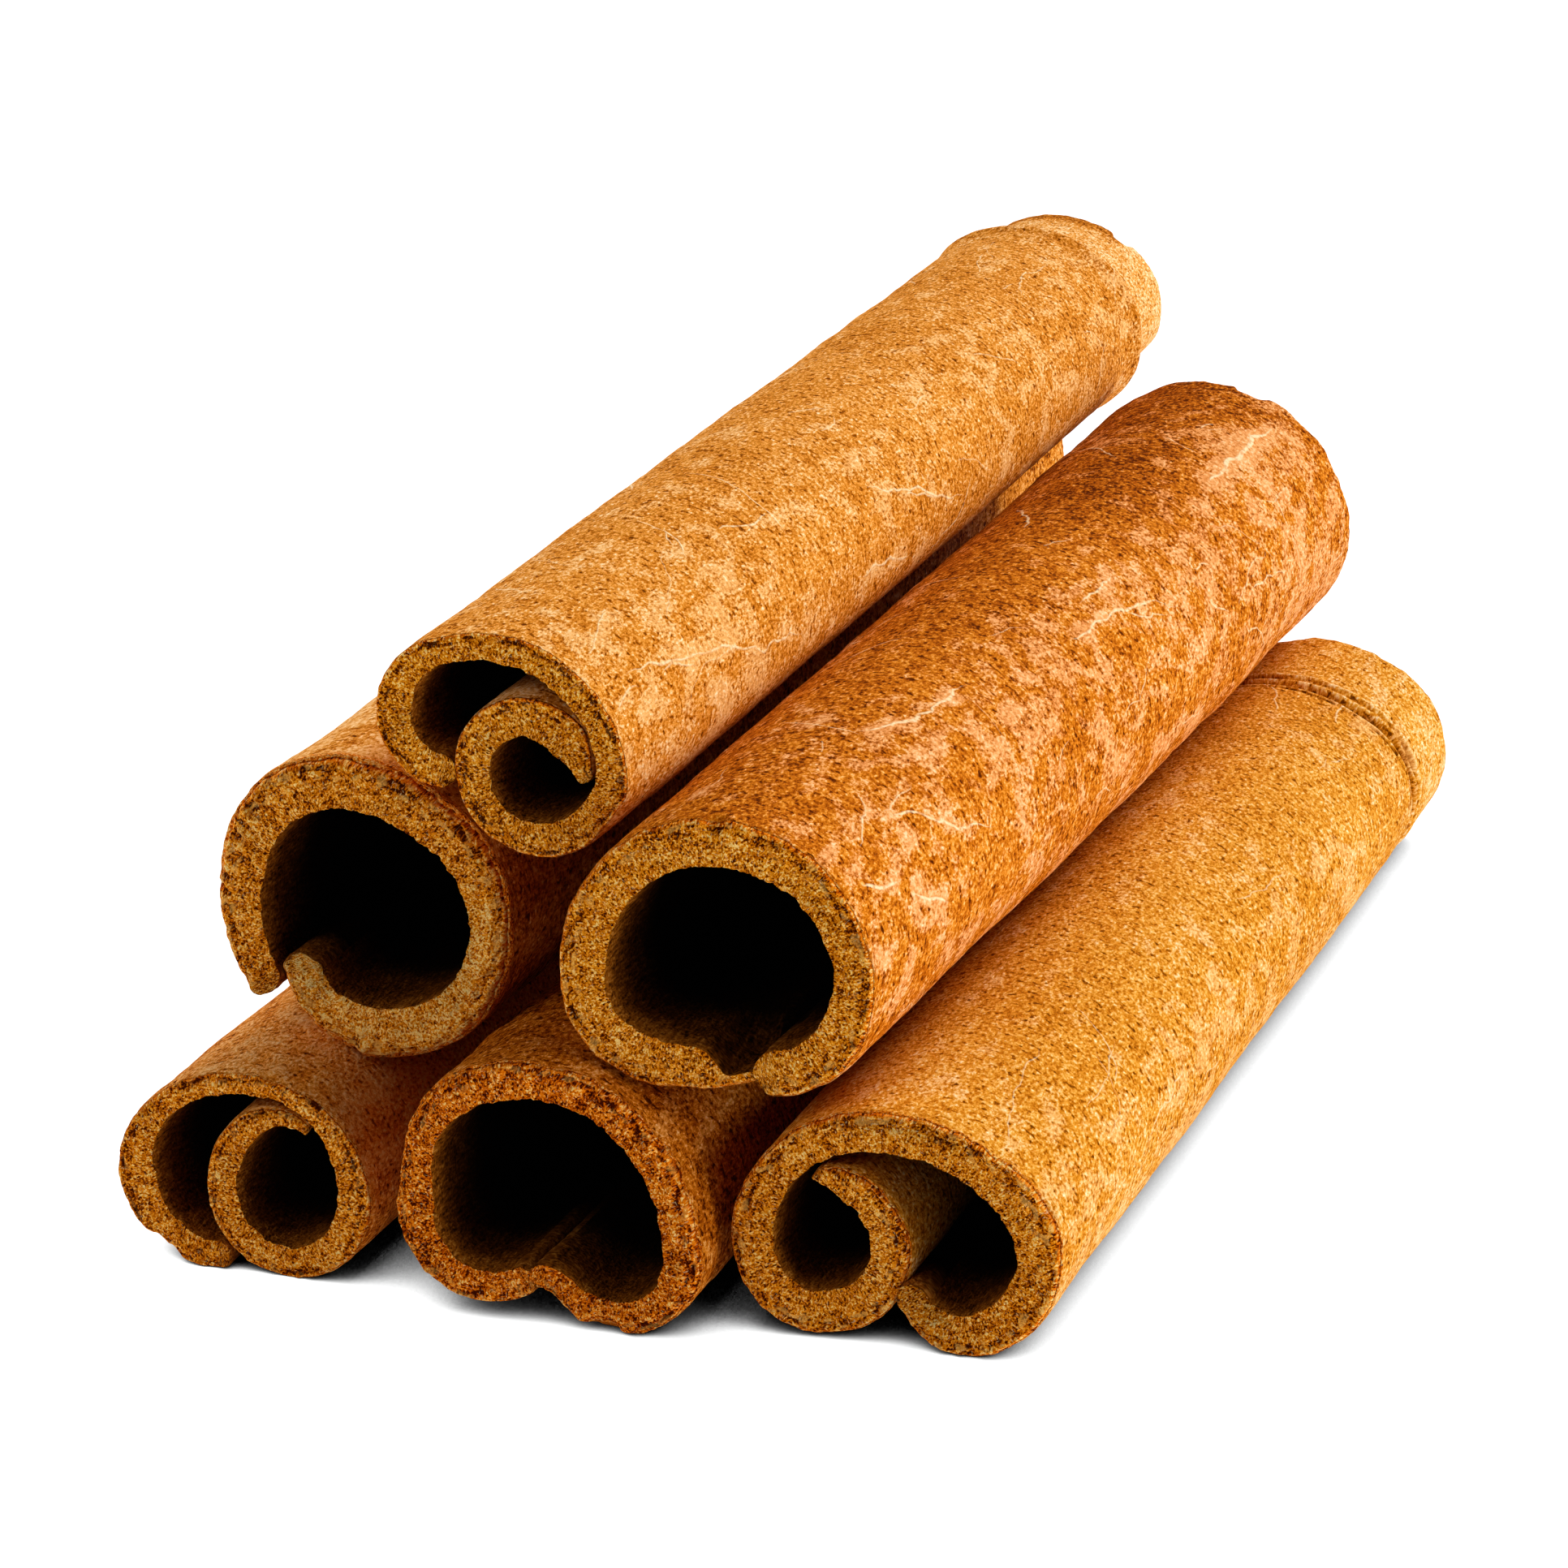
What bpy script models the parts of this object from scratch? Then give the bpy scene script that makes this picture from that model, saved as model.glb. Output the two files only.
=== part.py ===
"""A stack of six cinnamon sticks: curled quills of cassia bark laid three, two and one,
side by side with their cut ends facing -Y.

Each quill is one sheet of bark rolled up along Y. Its cross-section is a chain of arcs
(the roll of the sheet) with a wall that thickens and thins along it, and the section is
lofted from the near cut end to the far one with a little taper and bow.
The ground is Z = 0 and the origin is under the middle of the stack.
"""

import math

import bmesh
import bpy
import numpy as np

MM = 0.001

# ---------------------------------------------------------------- driving sizes (mm, degrees)
STATIONS = 43          # stations along the sheet, from its first lip to its last
LIP_STEPS = 3          # steps round each lip
LIP_ROUND = 0.42       # how far a lip bulges, as a share of the wall there
SINK = 0.06            # depth of the flat rubbed on the underside of the lowest quills
EDGE_WAVE = 0.28       # unevenness of the cut ends
MIDDLE_X = 0.13         # middle of the stack, before it is moved to the origin
MIDDLE_Y = 44.75

RINGS = (0.0, 0.05, 0.16, 0.30, 0.44, 0.58, 0.72, 0.86, 0.95, 1.0)
NECK_RINGS = (0.0, 0.05, 0.17, 0.32, 0.47, 0.62, 0.77, 0.895, 0.91, 0.925, 1.0)
GROOVE_RINGS = (0.0, 0.05, 0.18, 0.34, 0.50, 0.66, 0.80, 0.877, 0.895, 0.913, 1.0)

# lip:    where the sheet's first lip lies in the cut end, (x, z)
# head:   the direction in which the sheet leaves that lip
# roll:   its arcs one after the other, (radius of the mid-wall, turn; + is anticlockwise)
# wall:   wall thickness at the lip, at each joint between arcs, and at the last lip
# near:   Y of the near cut end        length: from the near end to the far one
# taper:  far section / near section   swell:  extra size at mid-length
# lean:   sideways and upward shift of the far end      bow: the same at mid-length
QUILLS = {
    # tight roll at the right under a wide outer turn; its far tenth is a scraped neck
    "stick_top": dict(
        lip=(-0.75, 21.45), head=108, near=4.2, length=86.5,
        roll=((4.3, 19), (2.3, 149), (2.8, 106), (3.9, 38), (2.6, 32),
              (4.1, 36), (5.9, 72), (2.9, 88), (2.1, 66)),
        wall=(0.75, 1.80, 1.50, 1.50, 1.50, 1.25, 1.25, 1.20, 1.65, 1.50),
        taper=1.03, swell=0.0, lean=(0.35, 0.95), bow=(0.9, 0.7), phase=0.4,
        floor=False, rings=NECK_RINGS, neck=True),
    # thick open C, its mouth at the lower left
    "stick_mid_left": dict(
        lip=(-15.25, 11.30), head=118, near=4.8, length=86.0,
        roll=((7.3, -41), (4.8, -103), (12.4, -9), (5.5, -53), (4.8, -98), (3.3, -69)),
        wall=(1.80, 2.30, 2.10, 2.00, 1.70, 2.40, 1.90),
        taper=0.985, swell=0.0, lean=(0.3, 0.1), bow=(0.0, 0.0), phase=2.1,
        floor=False, rings=RINGS),
    # nearly closed C with the seam below; a chip is gone from the lip left of the seam
    "stick_mid_right": dict(
        lip=(7.30, 11.40), head=-159, near=0.6, length=77.5,
        roll=((7.1, -33), (3.6, -73), (5.6, -95), (5.8, -74), (4.2, -52), (3.7, -45)),
        wall=(1.75, 2.05, 2.10, 2.00, 1.65, 1.90, 2.00),
        taper=1.12, swell=0.0, lean=(0.8, -0.05), bow=(0.4, 0.2), phase=3.3,
        floor=False, rings=RINGS, chip=True),
    # wide turn at the left that runs, thin, round a roll at the right
    "stick_low_left": dict(
        lip=(-11.70, 6.40), head=145, near=0.5, length=79.0,
        roll=((2.0, 78), (3.6, 68), (2.6, 50), (3.1, 103), (4.2, 84),
              (13.3, 3), (5.6, 50), (3.6, 58), (3.5, 84)),
        wall=(0.45, 1.25, 1.50, 1.40, 1.50, 0.75, 0.90, 1.10, 1.80, 1.20),
        taper=1.0, swell=0.0, lean=(0.1, 0.0), bow=(0.0, 0.0), phase=1.2,
        floor=True, rings=RINGS),
    # C bent like a bean, seam below, the lip right of the seam raised inwards
    "stick_low_mid": dict(
        lip=(-1.55, 1.85), head=-151, near=-1.3, length=77.0,
        roll=((3.1, -119), (28.1, -4), (3.7, -51), (5.8, -70), (7.5, -48), (3.0, -143),
              (1.6, 36)),
        wall=(1.35, 1.75, 1.35, 1.65, 1.40, 1.60, 1.40, 1.10),
        taper=0.93, swell=0.0, lean=(0.2, 0.0), bow=(0.0, 0.0), phase=4.4,
        floor=True, rings=RINGS),
    # roll at the left, wide turn at the right; two growth rings crease its far end
    "stick_low_right": dict(
        lip=(10.45, 7.10), head=-4, near=0.6, length=74.3,
        roll=((3.0, -27), (3.0, -130), (2.8, -101), (4.5, -39), (5.4, -37),
              (6.9, -69), (3.7, -110), (2.3, -80)),
        wall=(0.60, 1.45, 1.95, 1.90, 1.70, 1.65, 1.85, 1.95, 1.45),
        taper=0.99, swell=0.0, lean=(0.0, 0.0), bow=(0.0, 0.0), phase=5.5,
        floor=True, rings=GROOVE_RINGS, groove=True),
}

COLOURS = {   # base colour (linear), roughness
    "stick_top": ((0.56, 0.24, 0.070), 0.72),
    "stick_mid_left": ((0.42, 0.17, 0.045), 0.78),
    "stick_mid_right": ((0.52, 0.21, 0.055), 0.74),
    "stick_low_left": ((0.45, 0.18, 0.050), 0.76),
    "stick_low_mid": ((0.44, 0.17, 0.050), 0.76),
    "stick_low_right": ((0.53, 0.24, 0.065), 0.72),
}

# the scraped neck and the ridge before it
NECK_RIDGE, NECK_DEPTH, NECK_FROM = 0.15, 0.70, 9.0
# the crease near the low right quill's far end
GROOVE_AT, GROOVE_HALF, GROOVE_DEPTH, GROOVE_TILT = 0.895, 0.018, 0.35, 1.5
# the chip beside the middle right quill's seam
CHIP_LONG, CHIP_DEEP = 2.6, 1.3


def smooth(a, b, v):
    """0 before a, 1 after b, smooth between."""
    t = np.clip((v - a) / (b - a), 0.0, 1.0)
    return t * t * (3.0 - 2.0 * t)


def centreline(quill, count):
    """Mid-wall curve of the sheet: x, z, heading, distance along the sheet, wall."""
    spans = [radius * abs(math.radians(turn)) for radius, turn in quill["roll"]]
    joints = np.concatenate(([0.0], np.cumsum(spans)))
    turned = np.concatenate(([0.0], np.cumsum([math.radians(t) for _, t in quill["roll"]])))
    fine = np.linspace(0.0, joints[-1], 1201)
    head = math.radians(quill["head"]) + np.interp(fine, joints, turned)
    mid = (head[1:] + head[:-1]) / 2.0
    step = fine[1] - fine[0]
    x = quill["lip"][0] + np.concatenate(([0.0], np.cumsum(np.cos(mid)) * step))
    z = quill["lip"][1] + np.concatenate(([0.0], np.cumsum(np.sin(mid)) * step))
    at = np.linspace(0.0, joints[-1], count)
    return (np.interp(at, fine, x), np.interp(at, fine, z), np.interp(at, fine, head),
            at, np.interp(at, joints, quill["wall"]))


def outline(quill, outer_trim=0.0, outer_from=0.0):
    """Closed section: one face of the sheet, round the last lip, back along the other
    face, round the first lip. Gives the points and their distance along the sheet."""
    x, z, head, at, wall = centreline(quill, STATIONS)
    left = np.stack((-np.sin(head), np.cos(head)), axis=1)
    mid = np.stack((x, z), axis=1)
    rolls_left = sum(turn for _, turn in quill["roll"]) > 0
    trim = outer_trim * smooth(outer_from, outer_from + 2.5, at)
    a_half = wall / 2.0 - (0.0 if rolls_left else trim)
    b_half = wall / 2.0 - (trim if rolls_left else 0.0)
    side_a = mid + left * a_half[:, None]
    side_b = mid - left * b_half[:, None]

    def lip(end, forward):
        """Points round a lip, from side A to side B if forward."""
        way = np.array((math.cos(head[end]), math.sin(head[end]))) * (1.0 if forward else -1.0)
        centre = (side_a[end] + side_b[end]) / 2.0
        half = (side_a[end] - side_b[end]) / 2.0
        reach = LIP_ROUND * np.linalg.norm(half) * 2.0
        points = []
        for k in range(1, LIP_STEPS):
            angle = math.pi * k / LIP_STEPS
            points.append(centre + half * math.cos(angle) + way * reach * math.sin(angle))
        return np.array(points if forward else points[::-1])

    last, first = lip(-1, True), lip(0, False)
    points = np.concatenate((side_a, last, side_b[::-1], first))
    along = np.concatenate((at, np.full(len(last), at[-1]), at[::-1], np.full(len(first), 0.0)))
    return points, along


def ring(quill, share):
    """The section at a share of the quill's length, as x, y, z in mm."""
    trim, start = 0.0, 0.0
    if quill.get("neck"):
        trim = float(-NECK_RIDGE * smooth(0.85, 0.90, share) * (1 - smooth(0.90, 0.92, share))
                     + NECK_DEPTH * smooth(0.905, 0.925, share))
        start = NECK_FROM
    if quill.get("groove"):
        trim = GROOVE_DEPTH * max(0.0, 1.0 - abs(share - GROOVE_AT) / GROOVE_HALF)
        start = 8.0
    near_points, along = outline(quill)
    points = outline(quill, trim, start)[0]
    centre = (near_points.max(axis=0) + near_points.min(axis=0)) / 2.0
    hump = 4.0 * share * (1.0 - share)
    size = 1.0 + (quill["taper"] - 1.0) * share + quill["swell"] * hump
    points = (points - centre) * size + centre
    points = points + np.array(quill["lean"]) * share + np.array(quill["bow"]) * hump
    if quill["floor"]:
        points[:, 1] += -SINK - points[:, 1].min()
        points[:, 1] = np.maximum(points[:, 1], 0.0)

    # the cut ends are a little uneven, and one has a chip
    turn = along / along.max() * 2.0 * math.pi
    wave = EDGE_WAVE * (0.6 * np.sin(1.3 * turn + quill["phase"])
                        + 0.4 * np.sin(3.1 * turn + 2.0 * quill["phase"]))
    near_end = 1.0 - smooth(0.0, 0.16, share)
    far_end = smooth(0.90, 1.0, share)
    y = quill["near"] + quill["length"] * share + wave * (near_end - far_end)
    if quill.get("chip"):
        y = y + CHIP_DEEP * (1.0 - smooth(0.4, CHIP_LONG, along)) * (1.0 - smooth(0.0, 0.05, share))
    if quill.get("groove"):
        y = y + GROOVE_TILT * (points[:, 1] / 10.0 - 0.5) * -1.0 * smooth(0.75, 0.87, share) \
            * (1.0 - smooth(0.93, 1.0, share))
    return np.stack((points[:, 0] - MIDDLE_X, y - MIDDLE_Y, points[:, 1]), axis=1)


def build_quill(name, quill):
    rings = [ring(quill, share) for share in quill["rings"]]
    count = len(rings[0])
    bm = bmesh.new()
    rows = [[bm.verts.new([c * MM for c in point]) for point in points.tolist()]
            for points in rings]
    for row, following in zip(rows, rows[1:]):
        for i in range(count):
            j = (i + 1) % count
            bm.faces.new((row[i], row[j], following[j], following[i]))

    # a cut end is a strip between the two faces of the sheet, closed round each lip
    def cut_face(row):
        a = row[:STATIONS]
        b = row[STATIONS + LIP_STEPS - 1:2 * STATIONS + LIP_STEPS - 1][::-1]
        for i in range(STATIONS - 1):
            bm.faces.new((a[i], a[i + 1], b[i + 1], b[i]))
        bm.faces.new([a[-1]] + row[STATIONS:STATIONS + LIP_STEPS - 1] + [b[-1]])
        bm.faces.new([b[0]] + row[2 * STATIONS + LIP_STEPS - 1:] + [a[0]])

    cut_face(rows[0])
    cut_face(rows[-1])
    bmesh.ops.recalc_face_normals(bm, faces=bm.faces)
    mesh = bpy.data.meshes.new(name)
    bm.to_mesh(mesh)
    bm.free()
    mesh.shade_smooth()
    mesh.set_sharp_from_angle(angle=math.radians(50))

    colour, roughness = COLOURS[name]
    material = bpy.data.materials.new(name + "_bark")
    material.use_nodes = True
    shader = material.node_tree.nodes["Principled BSDF"]
    shader.inputs["Base Color"].default_value = (*colour, 1.0)
    shader.inputs["Roughness"].default_value = roughness
    shader.inputs["Metallic"].default_value = 0.0
    mesh.materials.append(material)

    obj = bpy.data.objects.new(name, mesh)
    bpy.context.scene.collection.objects.link(obj)
    return obj


def main():
    for old in list(bpy.data.objects):
        bpy.data.objects.remove(old, do_unlink=True)
    for name, quill in QUILLS.items():
        build_quill(name, quill)


main()
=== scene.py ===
"""The looks of a stack of six cinnamon sticks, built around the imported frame.

Each quill is rebuilt at full detail from the same rolled sheet of bark as its solid:
a chain of arcs for the section, lofted along Y. The sheet's outer face, its bore, its
lips and its cut ends are one mesh, whose relief is worked out in millimetres on the
sheet itself (distance along the sheet, distance from the near cut end).
"""

import math

import bpy
import numpy as np
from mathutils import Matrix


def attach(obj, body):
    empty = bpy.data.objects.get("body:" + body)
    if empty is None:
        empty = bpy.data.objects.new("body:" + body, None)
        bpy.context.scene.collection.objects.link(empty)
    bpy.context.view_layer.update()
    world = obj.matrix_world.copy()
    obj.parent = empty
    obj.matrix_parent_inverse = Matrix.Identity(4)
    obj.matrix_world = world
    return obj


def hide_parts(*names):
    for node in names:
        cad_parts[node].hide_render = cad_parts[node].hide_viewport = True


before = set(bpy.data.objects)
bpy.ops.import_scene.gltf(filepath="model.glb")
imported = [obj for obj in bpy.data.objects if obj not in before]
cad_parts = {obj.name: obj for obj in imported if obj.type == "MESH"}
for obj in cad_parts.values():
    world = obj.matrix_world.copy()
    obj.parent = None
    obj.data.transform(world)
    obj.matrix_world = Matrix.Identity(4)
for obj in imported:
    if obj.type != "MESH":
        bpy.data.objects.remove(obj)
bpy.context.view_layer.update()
MM = 0.001

# ---------------------------------------------------------------- the sheets (mm, degrees)
LIP_ROUND = 0.42
SINK = 0.06
EDGE_WAVE = 0.28
MIDDLE_X = 0.13
MIDDLE_Y = 44.75
NECK_RIDGE, NECK_DEPTH, NECK_FROM = 0.15, 0.70, 9.0
GROOVE_AT, GROOVE_HALF, GROOVE_DEPTH, GROOVE_TILT = 0.895, 0.018, 0.35, 1.5

FULL = 400       # steps along the sheet at the cut ends; halved away from them
ACROSS = 14      # steps across the wall of a cut end
LIP_COLUMNS = 4  # columns of a cut end inside each round lip

QUILLS = {
    "top": dict(
        lip=(-0.75, 21.45), head=108, near=4.2, length=86.5,
        roll=((4.3, 19), (2.3, 149), (2.8, 106), (3.9, 38), (2.6, 32),
              (4.1, 36), (5.9, 72), (2.9, 88), (2.1, 66)),
        wall=(0.75, 1.80, 1.50, 1.50, 1.50, 1.25, 1.25, 1.20, 1.65, 1.50),
        taper=1.03, swell=0.0, lean=(0.35, 0.95), bow=(0.9, 0.7), phase=0.4,
        floor=False, neck=True, seed=11),
    "mid_left": dict(
        lip=(-15.25, 11.30), head=118, near=4.8, length=86.0,
        roll=((7.3, -41), (4.8, -103), (12.4, -9), (5.5, -53), (4.8, -98), (3.3, -69)),
        wall=(1.80, 2.30, 2.10, 2.00, 1.70, 2.40, 1.90),
        taper=0.985, swell=0.0, lean=(0.3, 0.1), bow=(0.0, 0.0), phase=2.1,
        floor=False, seed=23),
    "mid_right": dict(
        lip=(7.30, 11.40), head=-159, near=0.6, length=77.5,
        roll=((7.1, -33), (3.6, -73), (5.6, -95), (5.8, -74), (4.2, -52), (3.7, -45)),
        wall=(1.75, 2.05, 2.10, 2.00, 1.65, 1.90, 2.00),
        taper=1.12, swell=0.0, lean=(0.8, -0.05), bow=(0.4, 0.2), phase=3.3,
        floor=False, chip=True, seed=37),
    "low_left": dict(
        lip=(-11.70, 6.40), head=145, near=0.5, length=79.0,
        roll=((2.0, 78), (3.6, 68), (2.6, 50), (3.1, 103), (4.2, 84),
              (13.3, 3), (5.6, 50), (3.6, 58), (3.5, 84)),
        wall=(0.45, 1.25, 1.50, 1.40, 1.50, 0.75, 0.90, 1.10, 1.80, 1.20),
        taper=1.0, swell=0.0, lean=(0.1, 0.0), bow=(0.0, 0.0), phase=1.2,
        floor=True, seed=41),
    "low_mid": dict(
        lip=(-1.55, 1.85), head=-151, near=-1.3, length=77.0,
        roll=((3.1, -119), (28.1, -4), (3.7, -51), (5.8, -70), (7.5, -48), (3.0, -143),
              (1.6, 36)),
        wall=(1.35, 1.75, 1.35, 1.65, 1.40, 1.60, 1.40, 1.10),
        taper=0.93, swell=0.0, lean=(0.2, 0.0), bow=(0.0, 0.0), phase=4.4,
        floor=True, seed=53),
    "low_right": dict(
        lip=(10.45, 7.10), head=-4, near=0.6, length=74.3,
        roll=((3.0, -27), (3.0, -130), (2.8, -101), (4.5, -39), (5.4, -37),
              (6.9, -69), (3.7, -110), (2.3, -80)),
        wall=(0.60, 1.45, 1.95, 1.90, 1.70, 1.65, 1.85, 1.95, 1.45),
        taper=0.99, swell=0.0, lean=(0.0, 0.0), bow=(0.0, 0.0), phase=5.5,
        floor=True, groove=True, seed=67),
}


# ---------------------------------------------------------------- noise on the sheet
def smooth(a, b, v):
    t = np.clip((np.asarray(v, float) - a) / (b - a), 0.0, 1.0)
    return t * t * (3.0 - 2.0 * t)


TABLES = {}


def noise(seed, u, v):
    """Gradient noise of the plane, about -1 to 1, with cells one unit wide."""
    if seed not in TABLES:
        angle = np.random.default_rng(seed).uniform(0.0, 2.0 * math.pi, (128, 128))
        TABLES[seed] = (np.cos(angle), np.sin(angle))
    gx, gy = TABLES[seed]
    u, v = np.broadcast_arrays(np.asarray(u, float), np.asarray(v, float))
    iu, iv = np.floor(u).astype(int), np.floor(v).astype(int)
    fu, fv = u - iu, v - iv
    su = fu * fu * fu * (fu * (fu * 6 - 15) + 10)
    sv = fv * fv * fv * (fv * (fv * 6 - 15) + 10)

    def corner(du, dv):
        a, b = (iu + du) % 128, (iv + dv) % 128
        return gx[a, b] * (fu - du) + gy[a, b] * (fv - dv)

    near = corner(0, 0) * (1 - su) + corner(1, 0) * su
    far = corner(0, 1) * (1 - su) + corner(1, 1) * su
    return (near * (1 - sv) + far * sv) * 1.5


def fbm(seed, u, v, octaves=3, gain=0.5):
    total, size = 0.0, 1.0
    for k in range(octaves):
        total = total + size * noise(seed + 101 * k, u * 2 ** k + 17.3 * k, v * 2 ** k + 5.1 * k)
        size *= gain
    return total


# ---------------------------------------------------------------- the sheet as a surface
class Sheet:
    """One quill's sheet: where a point lies whose place on the sheet is known."""

    def __init__(self, quill):
        self.quill = quill
        spans = [radius * abs(math.radians(turn)) for radius, turn in quill["roll"]]
        joints = np.concatenate(([0.0], np.cumsum(spans)))
        turned = np.concatenate(([0.0], np.cumsum([math.radians(t) for _, t in quill["roll"]])))
        fine = np.linspace(0.0, joints[-1], 2401)
        head = math.radians(quill["head"]) + np.interp(fine, joints, turned)
        mid = (head[1:] + head[:-1]) / 2.0
        step = fine[1] - fine[0]
        self.x = quill["lip"][0] + np.concatenate(([0.0], np.cumsum(np.cos(mid)) * step))
        self.z = quill["lip"][1] + np.concatenate(([0.0], np.cumsum(np.sin(mid)) * step))
        # headings and walls are eased a little where arcs meet
        kernel = np.hanning(61)
        kernel /= kernel.sum()
        pad = np.pad(np.interp(fine, joints, quill["wall"]), 30, mode="edge")
        self.wall = np.convolve(pad, kernel, mode="valid")
        self.head = head
        self.fine = fine
        self.length = joints[-1]
        self.side = -1.0 if sum(t for _, t in quill["roll"]) > 0 else 1.0
        self.near_y, self.long = quill["near"], quill["length"]

        s = np.linspace(0.0, self.length, 300)
        edge = np.concatenate([np.stack(self.section(s, t, 0.0 * s, 0.0 * s), 1) for t in (0.0, 1.0)])
        self.centre = (edge.max(axis=0) + edge.min(axis=0)) / 2.0
        shares = np.linspace(0.0, 1.0, 41)
        self.shares = shares
        self.lowest = np.array([self.grow(edge[:, 0], edge[:, 1], np.full(len(edge), k))[1].min()
                                for k in shares])

    def at(self, s):
        return (np.interp(s, self.fine, self.x), np.interp(s, self.fine, self.z),
                np.interp(s, self.fine, self.head), np.interp(s, self.fine, self.wall))

    def section(self, s, t, extra, push):
        """x, z in the near section. t is 0 on the bore side and 1 outside, extra runs on
        past a lip, push is how far the point is pushed outwards across the wall."""
        x, z, head, wall = self.at(s)
        out = (t - 0.5) * wall + push
        return (x - np.sin(head) * self.side * out + np.cos(head) * extra,
                z + np.cos(head) * self.side * out + np.sin(head) * extra)

    def grow(self, x, z, share):
        q = self.quill
        hump = 4.0 * share * (1.0 - share)
        size = 1.0 + (q["taper"] - 1.0) * share + q["swell"] * hump
        return ((x - self.centre[0]) * size + self.centre[0] + q["lean"][0] * share + q["bow"][0] * hump,
                (z - self.centre[1]) * size + self.centre[1] + q["lean"][1] * share + q["bow"][1] * hump)

    def trim(self, s, share):
        q = self.quill
        if q.get("neck"):
            deep = (-NECK_RIDGE * smooth(0.87, 0.90, share) * (1 - smooth(0.902, 0.915, share))
                    + NECK_DEPTH * smooth(0.905, 0.918, share))
            return deep * smooth(NECK_FROM, NECK_FROM + 2.5, s)
        if q.get("groove"):
            return (GROOVE_DEPTH * 0.55 * np.maximum(0.0, 1.0 - np.abs(share - GROOVE_AT) / GROOVE_HALF)
                    * smooth(8.0, 10.5, s))
        return 0.0 * s

    def place(self, s, t, extra, push, y, along):
        """x, y, z in mm in the row frame. y is measured from the near cut end."""
        share = np.clip(y / self.long, 0.0, 1.0)
        q = self.quill
        x, z = self.section(s, t, extra, push - t * self.trim(s, share))
        x, z = self.grow(x, z, share)
        if q["floor"]:
            z = np.maximum(z - SINK - np.interp(share, self.shares, self.lowest), 0.0)
        turn = along / self.length * 2.0 * math.pi
        wave = EDGE_WAVE * (0.6 * np.sin(1.3 * turn + q["phase"]) + 0.4 * np.sin(3.1 * turn + 2.0 * q["phase"]))
        y = self.near_y + y + wave * ((1.0 - smooth(0.0, 0.16, share)) - smooth(0.90, 1.0, share))
        if q.get("groove"):
            y = y - GROOVE_TILT * (z / 10.0 - 0.5) * smooth(0.75, 0.87, share) * (1.0 - smooth(0.93, 1.0, share))
        return x - MIDDLE_X, y - MIDDLE_Y, z


# ---------------------------------------------------------------- marks of each quill
ROUGH = dict(top=0.45, mid_left=1.20, mid_right=0.75, low_left=0.60, low_mid=1.35, low_right=0.90)
ROUND_OVER = dict(top=0.09, mid_left=0.50, mid_right=0.18, low_left=0.15, low_mid=0.30, low_right=0.22)
WRINKLE = dict(top=0.5, mid_left=1.0, mid_right=0.7, low_left=1.0, low_mid=1.5, low_right=0.35)
MARBLED = dict(top=0.6, mid_left=0.5, mid_right=0.85, low_left=0.6, low_mid=0.5, low_right=0.38)

# pale veins of the bark: how wide, how far their pale halo shows, and their points in mm,
# distance along the sheet and distance from the near cut end
VEINS = {
    "top": (
        (1.0, 0.5, ((19.7, 1.6), (19.3, 5.0), (18.5, 9.9), (17.7, 12.8), (16.9, 16.5), (16.3, 22.8))),
        (0.9, 0.2, ((18.7, 0.8), (19.0, 2.5), (18.9, 3.6))),
        (0.8, 0.3, ((18.9, 5.6), (18.5, 7.6), (17.9, 9.0))),
        (0.9, 0.1, ((24.3, 35.2), (23.2, 36.8), (22.5, 37.6))),
        (1.1, 0.1, ((21.6, 18.4), (21.1, 21.5), (20.9, 23.4))),
        (1.1, 0.6, ((19.5, 32.0), (18.2, 36.6), (17.3, 40.4), (16.2, 44.7))),
        (0.8, 0.2, ((18.3, 35.5), (17.4, 39.0), (16.7, 41.6))),
        (0.8, 0.1, ((21.1, 41.7), (20.5, 43.4), (21.1, 44.5), (20.5, 46.0))),
        (1.0, 0.4, ((16.7, 28.4), (16.3, 33.5), (15.9, 36.5))),
        (0.8, 0.2, ((20.8, 53.4), (20.8, 54.6), (19.6, 57.0), (19.0, 58.0)))),
    "mid_right": (
        (1.2, 0.5, ((21.8, 33.4), (22.2, 38.1), (22.4, 41.4), (22.8, 43.2), (23.8, 47.5))),
        (0.8, 0.2, ((22.6, 40.8), (23.2, 43.3), (24.0, 45.2))),
        (1.1, 0.2, ((22.1, 7.5), (22.4, 9.1), (23.2, 10.8), (24.1, 12.3), (24.6, 13.7), (25.2, 16.6))),
        (1.3, 0.6, ((19.0, 12.6), (20.1, 16.0), (20.4, 17.5), (20.4, 19.8), (20.7, 23.8))),
        (1.3, 0.5, ((23.3, 1.7), (23.7, 3.1), (24.1, 5.3))),
        (1.2, 0.8, ((24.7, 5.5), (25.4, 7.4), (26.2, 9.5))),
        (0.8, 0.1, ((18.4, 42.8), (19.1, 45.2))),
        (0.9, 0.1, ((23.0, 51.2), (23.6, 53.7))),
        (1.5, 1.0, ((21.1, 60.4), (21.2, 67.5), (21.2, 74.9))),
        (0.8, 0.2, ((25.4, 57.2), (25.5, 60.4), (26.0, 64.9)))),
    "low_right": (
        (0.8, 0.2, ((30.4, 13.2), (30.1, 17.5), (29.8, 19.8), (29.4, 21.5))),
        (0.7, 0.1, ((27.8, 8.5), (27.8, 12.4), (27.2, 14.6), (26.9, 16.2))),
        (0.7, 0.2, ((30.9, 22.8), (30.9, 26.3))),
        (0.7, 0.1, ((26.6, 0.9), (25.8, 3.8), (25.3, 8.0), (25.0, 11.8)))),
}
MORE_VEINS = dict(top=40, mid_left=14, mid_right=70, low_left=14, low_mid=12, low_right=30)
SPREAD = dict(top=24, mid_left=30, mid_right=38, low_left=24, low_mid=30, low_right=16)

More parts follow.
